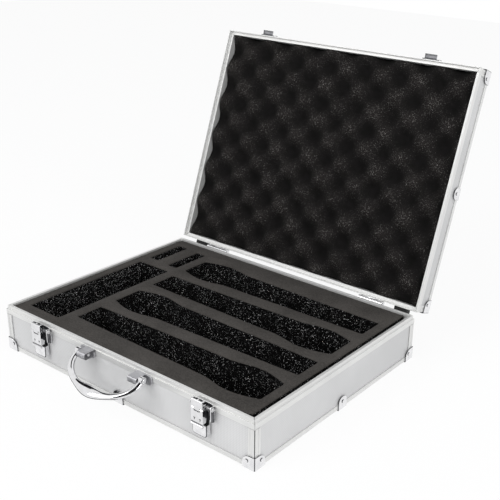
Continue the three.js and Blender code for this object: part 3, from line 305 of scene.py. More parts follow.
def soften(piece, width, steps=2, angle=40, edge_shade=None):
    """Breaks the sharp edges, painted dark as a line of shade where a finish is given, and lets
    flat faces shade flat.
    """
    slot = -1
    if edge_shade:
        piece.data.materials.append(edge_shade)
        slot = len(piece.data.materials) - 1
    modify(
        piece,
        "BEVEL",
        width=width,
        segments=steps,
        limit_method="ANGLE",
        angle_limit=math.radians(angle),
        material=slot,
    )
    smooth(piece, 50)
    modify(piece, "WEIGHTED_NORMAL", keep_sharp=True)


def paint(piece, finish, test):
    """Gives the faces that pass the test a finish of their own."""
    piece.data.materials.append(finish)
    index = len(piece.data.materials) - 1
    for face in piece.data.polygons:
        if test(face):
            face.material_index = index


def dress(piece, finish, *marks):
    """Gives a piece its main finish, and others to the faces that pass their tests."""
    piece.data.materials.append(finish)
    for mark, test in marks:
        paint(piece, mark, test)


def settle(piece, body, finish, slot, *stood_for):
    """Gives a finished piece its material, its body and the CAD nodes that it stands for."""
    if not piece.data.materials:
        piece.data.materials.append(finish)
    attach(piece, body)
    if stood_for:
        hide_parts(*stood_for)


def fit(piece, place, width, body, finish, slot, node, steps=2):
    """Puts a piece where it goes, softens its edges and settles it."""
    put(piece, place)
    soften(piece, width, steps)
    settle(piece, body, finish, slot, node)


def turned(degrees, axis):
    return Matrix.Rotation(math.radians(degrees), 4, axis)


def moved(x, y, z):
    return Matrix.Translation((x, y, z))


def mirror(x, y, z):
    return Matrix.Diagonal((x, y, z, 1))


HINGE = moved(0, HINGE_Y, HINGE_Z)
OPENED = HINGE @ turned(-LID_OPEN_ANGLE, "X") @ HINGE.inverted()
TURNED_OVER = moved(0, 0, LID_TOP) @ mirror(1, 1, -1)
SHELLS = {"base": Matrix.Identity(4), "lid": OPENED @ TURNED_OVER}


def on_side(side):
    """Takes what was drawn along the front, its outside at y = 0, to one of the four sides."""
    offset = CASE_DEPTH / 2 if side % 2 == 0 else CASE_WIDTH / 2
    return turned(90 * side, "Z") @ moved(0, -offset, 0)


def half_length(side):
    return (CASE_WIDTH if side % 2 == 0 else CASE_DEPTH) / 2


def at_corner(corner):
    """Takes what was drawn with its outer corner at the origin to one of the four corners."""
    sx = 1 if corner in (1, 2) else -1
    sy = 1 if corner > 1 else -1
    return moved(sx * CASE_WIDTH / 2, sy * CASE_DEPTH / 2, 0) @ turned(90 * corner, "Z")


def beside(sign, inner, outer):
    """A span across X on one side of the middle."""
    return tuple(sorted((sign * inner, sign * outer)))


# Finishes

def colour(code):
    """An sRGB hex colour as Blender's linear one."""
    parts = [int(code[i:i + 2], 16) / 255 for i in (1, 3, 5)]
    linear = [c / 12.92 if c <= 0.04045 else ((c + 0.055) / 1.055) ** 2.4 for c in parts]
    return (*linear, 1)


def add(tree, kind, settings=None):
    """Adds one node. A setting is a property, an input's value, or the output that feeds it."""
    node = tree.nodes.new(kind)
    for key, value in (settings or {}).items():
        if isinstance(value, bpy.types.NodeSocket):
            tree.links.new(value, node.inputs[key])
        elif isinstance(key, str) and hasattr(node, key):
            setattr(node, key, value)
        else:
            node.inputs[key].default_value = value
    return node


def maths(tree, operation, *values):
    """A maths node on numbers and outputs."""
    settings = {"operation": operation, **dict(enumerate(values))}
    return add(tree, "ShaderNodeMath", settings).outputs[0]


def span(tree, value, low, high, to_low=0, to_high=1):
    """Maps low..high to to_low..to_high, clamped."""
    return add(tree, "ShaderNodeMapRange", {
        "Value": value, "From Min": low, "From Max": high, "To Min": to_low, "To Max": to_high,
    }).outputs["Result"]


def mix(tree, factor, first, second, blend="MIX"):
    """Mixes two colours, each an output or an sRGB code."""
    pair = [colour(shade) if isinstance(shade, str) else shade for shade in (first, second)]
    return add(tree, "ShaderNodeMix", {
        "data_type": "RGBA", "blend_type": blend, 0: factor, 6: pair[0], 7: pair[1],
    }).outputs[2]


def noise_of(tree, place, size, detail=2, roughness=0.5, output="Fac"):
    """Noise whose lumps have the given size."""
    return add(tree, "ShaderNodeTexNoise", {
        "Scale": 1 / size, "Detail": detail, "Roughness": roughness, "Vector": place,
    }).outputs[output]


def cells_of(tree, place, size, randomness=1.0):
    return add(tree, "ShaderNodeTexVoronoi", {
        "Scale": 1 / size, "Randomness": randomness, "Vector": place,
    }).outputs


def parts_of(tree, value):
    return add(tree, "ShaderNodeSeparateColor", {"Color": value}).outputs


def new_finish(name, metallic=0.0, specular=0.5):
    """A material with its shader and a mapping of object coordinates."""
    material = bpy.data.materials.new(name)
    material.use_nodes = True
    tree = material.node_tree
    shader = tree.nodes["Principled BSDF"]
    shader.inputs["Metallic"].default_value = metallic
    shader.inputs["Specular IOR Level"].default_value = specular
    place = add(tree, "ShaderNodeTexCoord").outputs["Object"]
    return material, tree, shader, place


def complete(tree, shader, base, rough, height=None, depth=0, strength=0.5):
    """Feeds the shader its colour and roughness and, where given, its raised surface."""
    tree.links.new(base, shader.inputs["Base Color"])
    tree.links.new(rough, shader.inputs["Roughness"])
    if height is not None:
        raised = {"Strength": strength, "Distance": depth, "Height": height}
        bump = add(tree, "ShaderNodeBump", raised).outputs["Normal"]
        tree.links.new(bump, shader.inputs["Normal"])


def drawn_aluminium(name, turn, run):
    """Anodised aluminium, extruded: the eye reads a satin sheen with faint lines along the bar."""
    material, tree, shader, place = new_finish(name, metallic=0.5)
    line_length, line_width = mm(60, 0.7)
    scale = [1 / line_length if axis == run else 1 / line_width for axis in range(3)]
    turned_back = {"vector_type": "TEXTURE", "Rotation": turn, "Vector": place}
    along = add(tree, "ShaderNodeMapping", turned_back).outputs[0]
    stretched = add(tree, "ShaderNodeMapping", {"Scale": scale, "Vector": along}).outputs[0]
    lines = noise_of(tree, stretched, 1, 3)
    tone = maths(tree, "MULTIPLY", lines, noise_of(tree, place, 35 * MM))
    base = mix(tree, span(tree, tone, 0.1, 0.45), "#d4d4d3", "#e3e3e1")
    complete(tree, shader, base, span(tree, lines, 0.3, 0.7, 0.36, 0.48), lines, 0.02 * MM)
    return material


def embossed_laminate():
    """Silver foil laminate, roller-embossed: a pale satin grey with a fine field of dots."""
    material, tree, shader, place = new_finish("embossed_silver_laminate", metallic=0.08)
    # Dots 1.9 mm apart, set on the diagonal, on whichever wall they lie
    dot = span(tree, cells_of(tree, place, 1.9 * MM, 0.0)["Distance"], 0.2, 0.6, 1, 0)
    clouds = noise_of(tree, place, 70 * MM, 3)
    base = mix(tree, span(tree, clouds, 0.35, 0.65), "#d0d0d0", "#d9d9d9")
    between = mix(tree, 0.2, base, "#000000", "MULTIPLY")
    rough = span(tree, clouds, 0.3, 0.7, 0.48, 0.58)
    complete(tree, shader, mix(tree, dot, between, base), rough, dot, 0.10 * MM, 0.6)
    return material


def plated_steel(name, light, dark, rough):
    """Nickel-plated steel, pressed from sheet: bright, with a slight haze where it was drawn."""
    material, tree, shader, place = new_finish(name, metallic=1.0)
    haze = noise_of(tree, place, 6 * MM, 4)
    pores = noise_of(tree, place, 0.5 * MM)
    base = mix(tree, span(tree, haze, 0.35, 0.65), dark, light)
    hazy = span(tree, haze, 0.3, 0.7, rough, rough * 1.3)
    complete(tree, shader, base, hazy, pores, 0.002 * MM, 0.3)
    return material


def dark_steel(name, dark, light):
    """Dark steel with a fine burr: the bare sheared edges of the sheet, and painted shade on edges,
    seams and hollows, where it reads as dark outlines.
    """
    material, tree, shader, place = new_finish(name, metallic=0.8)
    burr = noise_of(tree, place, 0.8 * MM, 3)
    complete(tree, shader, mix(tree, burr, dark, light), span(tree, burr, 0.3, 0.7, 0.45, 0.65))
    return material


def cut_foam_top():
    """Polyethylene foam, sawn flat: a warm dark grey, matt, each cut cell its own shade."""
    material, tree, shader, place = new_finish("sawn_foam_top", specular=0.2)
    # The cells are 0.5 mm in real foam, drawn twice as coarse so that they show
    cells = cells_of(tree, place, 1.0 * MM)
    shade = parts_of(tree, cells["Color"])["Red"]
    grain = noise_of(tree, place, 2.2 * MM, 5, 0.7)
    clouds = noise_of(tree, place, 50 * MM)
    tone = maths(tree, "MULTIPLY_ADD", shade, 0.4, span(tree, clouds, 0.3, 0.7, 0.0, 0.3))
    tone = maths(tree, "MULTIPLY_ADD", grain, 0.45, tone)
    base = mix(tree, span(tree, tone, 0.1, 0.95), "#282624", "#4f4c49")
    height = maths(tree, "ADD", grain, cells["Distance"])
    complete(tree, shader, base, span(tree, grain, 0.3, 0.7, 0.85, 1.0), height, 0.25 * MM)
    return material


def sparkling_foam(name, ground, deep, spot, amount, size, crest_light_tone=None):
    """Open-cell foam, torn or moulded: near black, with painted glints as specks where its cell
    walls would catch the light.
    """
    material, tree, shader, place = new_finish(name, specular=0.06)
    # spot is the colour of the painted glints
    patches = noise_of(tree, place, 9 * size, 3)
    drift = noise_of(tree, place, 1.3 * size, output="Color")
    drifted = {"data_type": "VECTOR", 0: 0.0004, 4: place, 5: drift}
    warped = add(tree, "ShaderNodeMix", drifted).outputs[1]
    mixed = mix(tree, span(tree, patches, 0.35, 0.65), deep, ground)
    thick = span(tree, patches, 0.3, 0.6, 0.45, 1)
    if crest_light_tone:
        # The crests are painted paler than the hollows, as the light that falls on them
        crest = add(tree, "ShaderNodeAttribute", {"attribute_name": "crest"}).outputs["Fac"]
        mixed = mix(tree, crest, mixed, crest_light_tone)
    # Painted glints of two sizes: the small ones are drawn at their real size, the large ones
    # coarser
    for cell, share in ((size, amount), (0.6 * size, amount * 0.8)):
        cells = cells_of(tree, warped, cell)
        pick = parts_of(tree, cells["Color"])
        reach = span(tree, pick["Red"], 1 - share, 1, 0.12, 0.5)
        speck = span(tree, maths(tree, "SUBTRACT", reach, cells["Distance"]), 0, 0.1)
        glint = maths(tree, "POWER", pick["Green"], 2.0)
        # The painted glints fall only on the lit crests
        if crest_light_tone:
            glint = maths(tree, "MULTIPLY", glint, crest)
        strength = maths(tree, "MULTIPLY", speck, glint)
        strength = maths(tree, "MULTIPLY", strength, thick)
        chosen = maths(tree, "GREATER_THAN", pick["Red"], 1 - share)
        mixed = mix(tree, maths(tree, "MULTIPLY", strength, chosen), mixed, spot)
    complete(tree, shader, mixed, span(tree, patches, 0.3, 0.7, 0.8, 1.0), patches, 0.5 * size)
    return material


def moulded_rubber():
    """Rubber, moulded in a spark-eroded tool: black, with a soft sheen broken by a fine grain."""
    material, tree, shader, place = new_finish("moulded_rubber")
    grain = noise_of(tree, place, 0.6 * MM, 4)
    rough = span(tree, grain, 0.3, 0.7, 0.55, 0.75)
    complete(tree, shader, mix(tree, grain, "#0f0f0f", "#232322"), rough, grain, 0.08 * MM)
    return material


aluminium = {
    (shell, run): drawn_aluminium(f"anodised_aluminium_{shell}_{axis}", (turn, 0, 0), run)
    for shell, turn in (("base", 0), ("lid", math.radians(-LID_OPEN_ANGLE)))
    for run, axis in enumerate("xyz")
}
laminate = embossed_laminate()
nickel = plated_steel("nickel_plated_pressed_steel", "#f0f0f1", "#e4e4e6", 0.16)
chrome = plated_steel("polished_chrome_plate", "#e6e6e8", "#dededf", 0.06)
spring_steel = plated_steel("drawn_spring_steel", "#9a9a9c", "#6e6e72", 0.3)
satin_casting = plated_steel("satin_plated_zinc_casting", "#c9c9cc", "#b4b4b8", 0.4)
# A mid-grey satin steel painted where the latches, keepers and brackets stand in shade
painted_shade_satin = plated_steel("satin_steel_painted_shade", "#87878a", "#5c5c5f", 0.34)
# Bare sheared edges, and painted shade along seams, bends and hollows
dark_edge_and_shade = dark_steel("sheared_edge_and_painted_shade", "#3c3d40", "#6a6b6e")
# Near-black steel painted on the latches' and keepers' rounded edges as thin lines of shade
painted_edge_shade = dark_steel("painted_edge_shade_steel", "#232427", "#45464a")
# Near-black steel painted into the latch's bay and the claw's hook hollows as their shade
painted_deep_shade = dark_steel("painted_deep_shade_steel", "#26272a", "#4c4d50")
foam_top = cut_foam_top()
pocket_foam = sparkling_foam(
    "torn_open_cell_foam", "#0c0b0b", "#040404", "#ffffff", 0.3, 1.15 * MM,
)
lid_foam_finish = sparkling_foam(
    "convoluted_open_cell_foam", "#161515", "#0f0f0e", "#b6b2ae", 0.4, 0.9 * MM, "#211f1e",
)
rubber = moulded_rubber()


# Shell pieces, each drawn along the front or with its corner at the origin

def mitre(bar, half):
    for sign in (-1, 1):
        slice_at(bar, (sign * (half - MITRE_GAP), 0, 0), (sign, 1, 0), drop=True)


def edge_profile(name, half):
    """The angle round the face panel's edge."""
    leg = WALL_INSET - 0.05 * MM
    bar = block(name, (-half, half), (0, leg), (SHELL_LOW, EDGE_HEIGHT))
    slice_at(bar, (0, 0, SHELL_LOW + SKIN), (0, 0, 1))
    push(bar, facing((0, 1, 0), lambda c: c.z < SHELL_LOW + SKIN), (0, EDGE_WIDTH - leg, 0))
    mitre(bar, half)
    round_edges(bar, edges_at(lambda c: near(c.y, 0) and near(c.z, SHELL_LOW)), 0.8 * MM)
    return bar


def rim(name, half, top, band_bottom, step, raised, rise):
    """Outer band, web over the wall and inner leg, with the tongue or the lip raised on top."""
    bar = block(name, (-half, half), (0, RIM_WIDTH), (top - RIM_WEB, top))
    inner = RIM_WIDTH - RIM_LEG
    for y in (SKIN, step, inner):
        slice_at(bar, (0, y, 0), (0, 1, 0))
    down = (0, 0, -1)
    push(bar, facing(down, lambda c: c.y < SKIN), (0, 0, band_bottom - top + RIM_WEB))
    push(bar, facing(down, lambda c: c.y > inner), (0, 0, RIM_WEB - RIM_LEG_HEIGHT))
    push(bar, facing((0, 0, 1), raised), (0, 0, rise))
    mitre(bar, half)
    return bar


# The top of each rim's web, the bottom of its band, where its raised part starts, and its rise
RIMS = {
    "base": (BASE_HEIGHT, BASE_HEIGHT - BASE_BAND, LEDGE, lambda c: c.y > LEDGE, TONGUE),
    "lid": (
        LID_RECESS, LID_BAND_BOTTOM, LID_LIP, lambda c: c.y < LID_LIP, LID_LIP_TOP - LID_RECESS,
    ),
}


def corner_post(name, top):
    """The upright angle at a corner, fluted on each leg, with a seam down its outer edge."""
    low = EDGE_HEIGHT + 0.1 * MM
    post = block(name, (0, POST_LEG), (0, SKIN), (low, top))
    slice_at(post, (SKIN, 0, 0), (1, 0, 0))
    push(post, facing((0, 1, 0), lambda c: c.x < SKIN), (0, POST_LEG - SKIN, 0))
    for at in FLUTE:
        slice_at(post, (at, 0, 0), (1, 0, 0))
        slice_at(post, (0, at, 0), (0, 1, 0))
    within = lambda value: FLUTE[0] < value < FLUTE[1]
    push(post, facing((0, -1, 0), lambda c: within(c.x)), (0, FLUTE_DEPTH, 0))
    push(post, facing((-1, 0, 0), lambda c: within(c.y)), (FLUTE_DEPTH, 0, 0))
    seam = edges_at(lambda c: near(c.x, 0) and near(c.y, 0))
    round_edges(post, seam, 0.7 * MM, 1)
    return post


def on_seam(face):
    """The cut along a post's outer edge, in the post's own drawing, painted dark as the shade in
    the seam.
    """
    return face.normal.x < -0.5 and face.normal.y < -0.5


def wall_panel(name, side, top):
    """A wall's laminated board, held between the posts and under the rim."""
    half = half_length(side) - (WALL_INSET if side % 2 == 0 else WALL_INSET + WALL + FIT)
    return block(name, (-half, half), (WALL_INSET, WALL_INSET + WALL), (0, top))


def face_panel(name):
    x = CASE_WIDTH / 2 - WALL_INSET - WALL - FIT
    y = CASE_DEPTH / 2 - WALL_INSET - WALL - FIT
    return block(name, (-x, x), (-y, y), (0, WALL))


def rivet(name):
    """A domed head that looks to -Y, its seat at y = 0."""
    head = primitive(
        bpy.ops.mesh.primitive_cylinder_add,
        name,
        vertices=24,
        radius=RIVET_RADIUS,
        depth=RIVET_DOME,
        location=(0, -RIVET_DOME / 2, 0),
        rotation=(math.pi / 2, 0, 0),
    )
    round_edges(head, edges_at(lambda c: near(c.y, -RIVET_DOME)), 0.72 * MM, 5)
    smooth(head, 60)
    return head


rivet_pattern = rivet("rivet_pattern")
# The dome's rim is painted dark as the shade round each head
dress(rivet_pattern, nickel, (dark_edge_and_shade, lambda face: face.normal.y > -0.75))


def add_rivet(name, place, body, slot, node):
    head = new_object(name, rivet_pattern.data.copy())
    head.data.name = name
    put(head, place)
    settle(head, body, nickel, slot, node)


def corner_cap(name):
    """Three leaves pressed from one sheet, its corners rounded."""
    leaf_top = CAP_HEIGHT + SHELL_LOW
    across = (-CAP_OUT, CAP_LENGTH)
    cap = block(name, across, across, (CAP_LOW, leaf_top))
    take_off(cap, lambda face: max(face.normal) > 0.9)
    tip = lambda c: [near(c.x, CAP_LENGTH), near(c.y, CAP_LENGTH), near(c.z, leaf_top)]
    round_edges(cap, lambda corner: sum(tip(corner.co)) == 2, CAP_ROUND, 10, "VERT")
    return cap


def middle_clip(name):
    """A tab up the wall and a foot under the bottom, pressed from one sheet."""
    clip = block(name, (-CLIP_HALF, CLIP_HALF), (-CAP_OUT, CLIP_FOOT), (CAP_LOW, CLIP_HEIGHT))
    take_off(clip, lambda face: abs(face.normal.y) < 0.9 and face.normal.z > -0.9)
    take_off(clip, lambda face: face.normal.y > 0.9)
    round_edges(clip, lambda corner: near(corner.co.z, CLIP_HEIGHT), CLIP_ROUND, 8, "VERT")
    return clip


def thicken(piece, fold, round_by):
    """Bends a sheet round its folds, thickens it inwards and gives its cut edges bare sheared
    steel, drawn darker as painted shade of the gap beside them.
    """
    piece.data.materials.append(nickel)
    piece.data.materials.append(dark_edge_and_shade)
    round_edges(piece, fold, round_by, 4)
    face_out(piece)
    modify(
        piece,
        "SOLIDIFY",
        thickness=CAP_SHEET,
        offset=-1,
        use_even_offset=True,
        material_offset_rim=1,
    )


def build_shell(shell, panel_node):
    """All the pieces of the base or of the lid, drawn upwards from the face panel's outside."""
    frame_slot = ("aluminium_profile", f"{shell}_edge_frame")
    top, band_bottom = RIMS[shell][:2]
    for side, word in enumerate(SIDES):
        half = half_length(side)
        place = SHELLS[shell] @ on_side(side)
        metal = aluminium[shell, side % 2]
        bar = edge_profile(f"{shell}_edge_profile_{word}", half)
        fit(bar, place, 0.22 * MM, shell, metal, *frame_slot)
        node = f"{shell}_{word}_rim"
        bar = rim(f"{node}_profile", half, *RIMS[shell])
        fit(bar, place, 0.3 * MM, shell, metal, "aluminium_profile", node, steps=3)
        node = f"{shell}_{word}_wall"
        wall = wall_panel(f"{node}_panel", side, top - RIM_WEB - FIT)
        fit(wall, place, 0.3 * MM, shell, laminate, "panel", node)
        clip = middle_clip(f"{shell}_middle_clip_{word}")
        thicken(clip, edges_at(lambda c: near(c.y, -CAP_OUT) and near(c.z, CAP_LOW)), CLIP_FOLD)
        fit(clip, place, 0.15 * MM, shell, nickel, *frame_slot)
        seat = place @ moved(0, -CAP_OUT, RIVET_HEIGHT)
        add_rivet(f"{shell}_middle_clip_rivet_{word}", seat, shell, *frame_slot)
    for corner, word in enumerate(CORNERS):
        place = SHELLS[shell] @ at_corner(corner)
        post = corner_post(f"{shell}_corner_post_{word}", band_bottom - FIT)
        dress(post, aluminium[shell, 2], (dark_edge_and_shade, on_seam))
        fit(post, place, 0.12 * MM, shell, aluminium[shell, 2], *frame_slot)
        node = f"{shell}_corner_cap_{word}"
        cap = corner_cap(f"{node}_pressing")
        outer = lambda c: [near(c.x, -CAP_OUT), near(c.y, -CAP_OUT), near(c.z, CAP_LOW)]
        thicken(cap, edges_at(lambda c: sum(outer(c)) >= 2), CAP_FOLD)
        # The cap's fold at the corner is painted dark as the shade along the seam
        paint(cap, dark_edge_and_shade, on_seam)
        fit(cap, place, 0.15 * MM, shell, nickel, "plated_steel", node)
        front = moved(RIVET_INSET, -CAP_OUT, RIVET_HEIGHT)
        flank = moved(-CAP_OUT, RIVET_INSET, RIVET_HEIGHT) @ turned(-90, "Z")
        for leaf, spot in (("front", front), ("flank", flank)):
            add_rivet(f"{node}_rivet_{leaf}", place @ spot, shell, "plated_steel", node)
    panel = face_panel(f"{panel_node}_board")
    fit(panel, SHELLS[shell], 0.3 * MM, shell, laminate, "panel", panel_node)


build_shell("base", "base_bottom_panel")
build_shell("lid", "lid_top_panel")


# Foam, which is soft and so made as meshes point by point

def grain(point, size):
    """A number from about -1 to 1 that wanders over space with bumps of the given size."""
    return noise.noise(Vector(point) / size)


def skin_of(name, points, faces):
    """A closed mesh from points and faces, with its faces turned out."""
    mesh = bpy.data.meshes.new(name)
    mesh.from_pydata(points, [], faces)
    piece = new_object(name, mesh)
    face_out(piece)
    smooth(piece, 60)
    return piece


def rounded(corners, radius, steps=5):
    """Swaps each corner of an outline that turns sharply for a short arc."""
    outline = []
    count = len(corners)
    for i, corner in enumerate(corners):
        here = Vector(corner)
        back = Vector(corners[i - 1]) - here
        ahead = Vector(corners[(i + 1) % count]) - here
        reach = min(radius, back.length / 2, ahead.length / 2)
        if back.angle(ahead) > math.radians(150):
            outline.append(here)
            continue
        start, end = here + back.normalized() * reach, here + ahead.normalized() * reach
        for step in range(steps + 1):
            t = step / steps
            outline.append((1 - t) ** 2 * start + 2 * t * (1 - t) * here + t ** 2 * end)
    return outline


def evenly(outline, spacing):
    """Points at one spacing round an outline."""
    points = []
    for i, here in enumerate(outline):
        there = outline[(i + 1) % len(outline)]
        pieces = max(1, round((there - here).length / spacing))
        points += [here.lerp(there, n / pieces) for n in range(pieces)]
    return points


def outwards(outline):
    """The direction away from the middle of a counter-clockwise outline, at each point."""
    directions = []
    for i in range(len(outline)):
        along = (outline[(i + 1) % len(outline)] - outline[i - 1]).normalized()
        directions.append(Vector((along.y, -along.x)))
    return directions


def microphone_outline(row):
    """One pocket: a rounded head, a neck, and a body that narrows to its end."""
    head_left = row % 2 == 0
    middle = MIC_REAR - row * MIC_PITCH
    stations = [MIC_HEAD_AT * n / 8 for n in range(8)]
    stations += [MIC_HEAD_AT + (MIC_NECK_AT - MIC_HEAD_AT) * n / 10 for n in range(11)]
    stations.append(MIC_LENGTH)

    def half(at):
        if at < MIC_HEAD_AT:
            ease = math.sin(math.pi / 2 * at / MIC_HEAD_AT)
            return MIC_END_HALF + (MIC_HEAD_HALF - MIC_END_HALF) * ease
        if at < MIC_NECK_AT:
            ease = math.cos(math.pi * (at - MIC_HEAD_AT) / (MIC_NECK_AT - MIC_HEAD_AT))
            return MIC_NECK_HALF + (MIC_HEAD_HALF - MIC_NECK_HALF) * (0.5 + 0.5 * ease)
        share = (at - MIC_NECK_AT) / (MIC_LENGTH - MIC_NECK_AT)
        return MIC_NECK_HALF + (MIC_TAIL_HALF - MIC_NECK_HALF) * share

    def at_x(at):
        return MIC_LEFT + at if head_left else MIC_LEFT + MIC_LENGTH - at

    near_side = [(at_x(at), middle - half(at)) for at in stations]
    far_side = [(at_x(at), middle + half(at)) for at in reversed(stations)]
    corners = near_side + far_side
    return corners if head_left else corners[::-1]


def cut_outline(x, y):
    return [(x[0], y[0]), (x[1], y[0]), (x[1], y[1]), (x[0], y[1])]


def swollen(point):
    """The block has shrunk from the front and right rims, and meets the rim at the back."""
    edge = 1 * MM
    if point.x > FOAM_X[1] - edge:
        point.x -= SHRUNK_RIGHT
    if point.y > FOAM_Y[1] - edge:
        point.y += SWOLLEN_REAR
    if point.y < FOAM_Y[0] + edge:
        point.y += SHRUNK_FRONT * min(1, max(0, (point.x - FRONT_SHRINK_FROM) / FRONT_SHRINK_OVER))


def cut_wall(shape, outline, sign):
    """The sides of the block or of a pocket: rings of points up to a crushed lip."""
    away = outwards(outline)

    def ring(z, depth):
        """The outline at one height, its points set back into the foam."""
        corners = []
        for point, direction in zip(outline, away):
            place = point + direction * sign * depth(point)
            corners.append(shape.verts.new((place.x, place.y, z)))
        return corners

    def torn(point):
        rough = grain((point.x, point.y, z), 5 * MM) * 0.45 * MM
        rough += grain((point.x, point.y, z), 1.9 * MM) * 0.3 * MM
        return 0.35 * MM + rough * 0.6

    def crushed(point):
        return back + grain((point.x, point.y, 0), 9 * MM) * 0.25 * MM

    rings = []
    for n in range(10):
        z = FOAM_BOTTOM + (FOAM_TOP - FOAM_LIP - FOAM_BOTTOM) * n / 9
        rings.append(ring(z, torn))
    for drop, back in LIP_RINGS:
        rings.append(ring(FOAM_TOP - drop, crushed))
    for below, above in zip(rings, rings[1:]):
        for i in range(len(below)):
            j = (i + 1) % len(below)
            shape.faces.new((below[i], below[j], above[j], above[i]))
    return [
        [shape.edges.get((end[i - 1], end[i])) for i in range(len(end))]
        for end in (rings[-1], rings[0])
    ]


def foam_insert():
    """The sawn block, its pockets cut right through, edges a little crushed by the cutter."""
    holes = [cut_outline(x, y) for x, y in BOX_POCKETS]
    holes += [microphone_outline(row) for row in range(4)]
    shape = bmesh.new()
    block_outline = evenly(rounded(cut_outline(FOAM_X, FOAM_Y), 3 * MM), 2.4 * MM)
    for point in block_outline:
        swollen(point)
    top_edges, bottom_edges = cut_wall(shape, block_outline, -1)
    for corners in holes:
        ends = cut_wall(shape, evenly(rounded(corners, 2.2 * MM), 2.4 * MM), 1)
        top_edges += ends[0]
        bottom_edges += ends[1]
    bmesh.ops.triangle_fill(shape, use_beauty=True, edges=top_edges)
    bmesh.ops.triangle_fill(shape, use_beauty=True, edges=bottom_edges)
    bmesh.ops.recalc_face_normals(shape, faces=shape.faces)
    mesh = bpy.data.meshes.new("foam_insert_block")
    shape.to_mesh(mesh)
    shape.free()
    piece = new_object("foam_insert_block", mesh)
    smooth(piece, 35)
    dress(piece, foam_top, (pocket_foam, lambda face: face.normal.z < 0.25))
    return piece


def field(name, half_x, half_y, step, front, back, crest=None):
    """A slab whose front is a fine grid of heights and whose back is flat."""
    columns = round(2 * half_x / step)
    rows = round(2 * half_y / step)
    points = []
    for j in range(rows + 1):
        for i in range(columns + 1):
            x, y = -half_x + 2 * half_x * i / columns, -half_y + 2 * half_y * j / rows
            points.append((x, y, front(x, y)))
    at = lambda i, j: j * (columns + 1) + i
    faces = [
        (at(i, j), at(i + 1, j), at(i + 1, j + 1), at(i, j + 1))
        for j in range(rows) for i in range(columns)
    ]
    border = [at(i, 0) for i in range(columns)] + [at(columns, j) for j in range(rows)]
    border += [at(i, rows) for i in range(columns, 0, -1)] + [at(0, j) for j in range(rows, 0, -1)]
    first = len(points)
    points += [(points[n][0], points[n][1], back) for n in border]
    for n in range(len(border)):
        m = (n + 1) % len(border)
        faces.append((border[n], first + n, first + m, border[m]))
    faces.append(tuple(first + n for n in range(len(border))))
    piece = skin_of(name, points, faces)
    if crest:
        marks = piece.data.attributes.new("crest", "FLOAT", "POINT")
        for mark, point in zip(marks.data, piece.data.vertices):
            mark.value = crest(point.co.x, point.co.y)
    return piece


def floor_pad():
    """Loose-celled sheet under the pockets: its torn cells make an uneven floor."""
    def height(x, y):
        rough = grain((x, y, 0), 7 * MM) * 0.45 + grain((x, y, 1), 2.6 * MM) * 0.35
        return PAD_TOP - 0.5 * MM + rough * 0.6 * MM
    return field("foam_floor_pad_sheet", FOAM_HALF_X, FOAM_HALF_Y, 3.2 * MM, height, PAD_BOTTOM)


def convoluted_lining():
    """Lid foam, cut in waves both ways so that bumps and hollows take turns."""
    def wave_at(x, y):
        wave = math.cos(math.pi * (x - BUMP_CENTRE_X) / BUMP_HALF_X)
        return wave * math.cos(math.pi * (y - BUMP_CENTRE_Y) / BUMP_HALF_Y)

    # How much painted light each crest gets: paler where the bump rises
    def crest(x, y):
        share = 0.5 + 0.5 * wave_at(x, y) + 0.35 * grain((x, y, 3), 30 * MM)
        return min(1, max(0, share)) ** 1.7

    def height(x, y):
        wave = wave_at(x, y)
        rough = grain((x, y, 2), 3.1 * MM) * 0.35 * MM
        edge = min(FOAM_HALF_X - abs(x), FOAM_HALF_Y - abs(y))
        sag = 1.6 * MM * max(0, 1 - edge / (5 * MM)) ** 2
        return LINING_CREST + 0.35 * MM + BUMP_HALF_HEIGHT * (1 - wave) + rough + sag

    size = (FOAM_HALF_X, FOAM_HALF_Y, 2.5 * MM)
    lining = field("lid_foam_lining", *size, height, LINING_BACK, crest)
    put(lining, OPENED)
    return lining


for piece, body, finish, slot, node in (
    (foam_insert(), "base", foam_top, "base_foam", "foam_insert"),
    (floor_pad(), "base", pocket_foam, "dark_foam", "foam_floor_pad"),
    (convoluted_lining(), "lid", lid_foam_finish, "dark_foam", "lid_foam"),
):
    settle(piece, body, finish, slot, node)


# Small fittings. Those on the front are drawn with x across, y = minus the distance out from
# the front and z = the height above the parting plane.

def from_outline(name, outline, x):
    """A plate across X, cut to an outline of points (y, z)."""
    circle = {"vertices": len(outline), "radius": 1, "fill_type": "NGON"}
    plate = primitive(bpy.ops.mesh.primitive_circle_add, name, **circle)
    for corner, (y, z) in zip(plate.data.vertices, outline):
        corner.co = (x[0], y, z)
    push(plate, everything, (x[1] - x[0], 0, 0))
    face_out(plate)
    return plate


def latch_pin_hole(reach):
    return rod("pin_hole", (-reach, reach), -LEVER_OUT, LEVER_UP, LEVER_PIN + BORE_GAP, 24)


def claw_pin_hole():
    return rod("claw_pin_hole", mm(-12, 12), -CLAW_OUT, CLAW_UP, CLAW_PIN + BORE_GAP, 20)


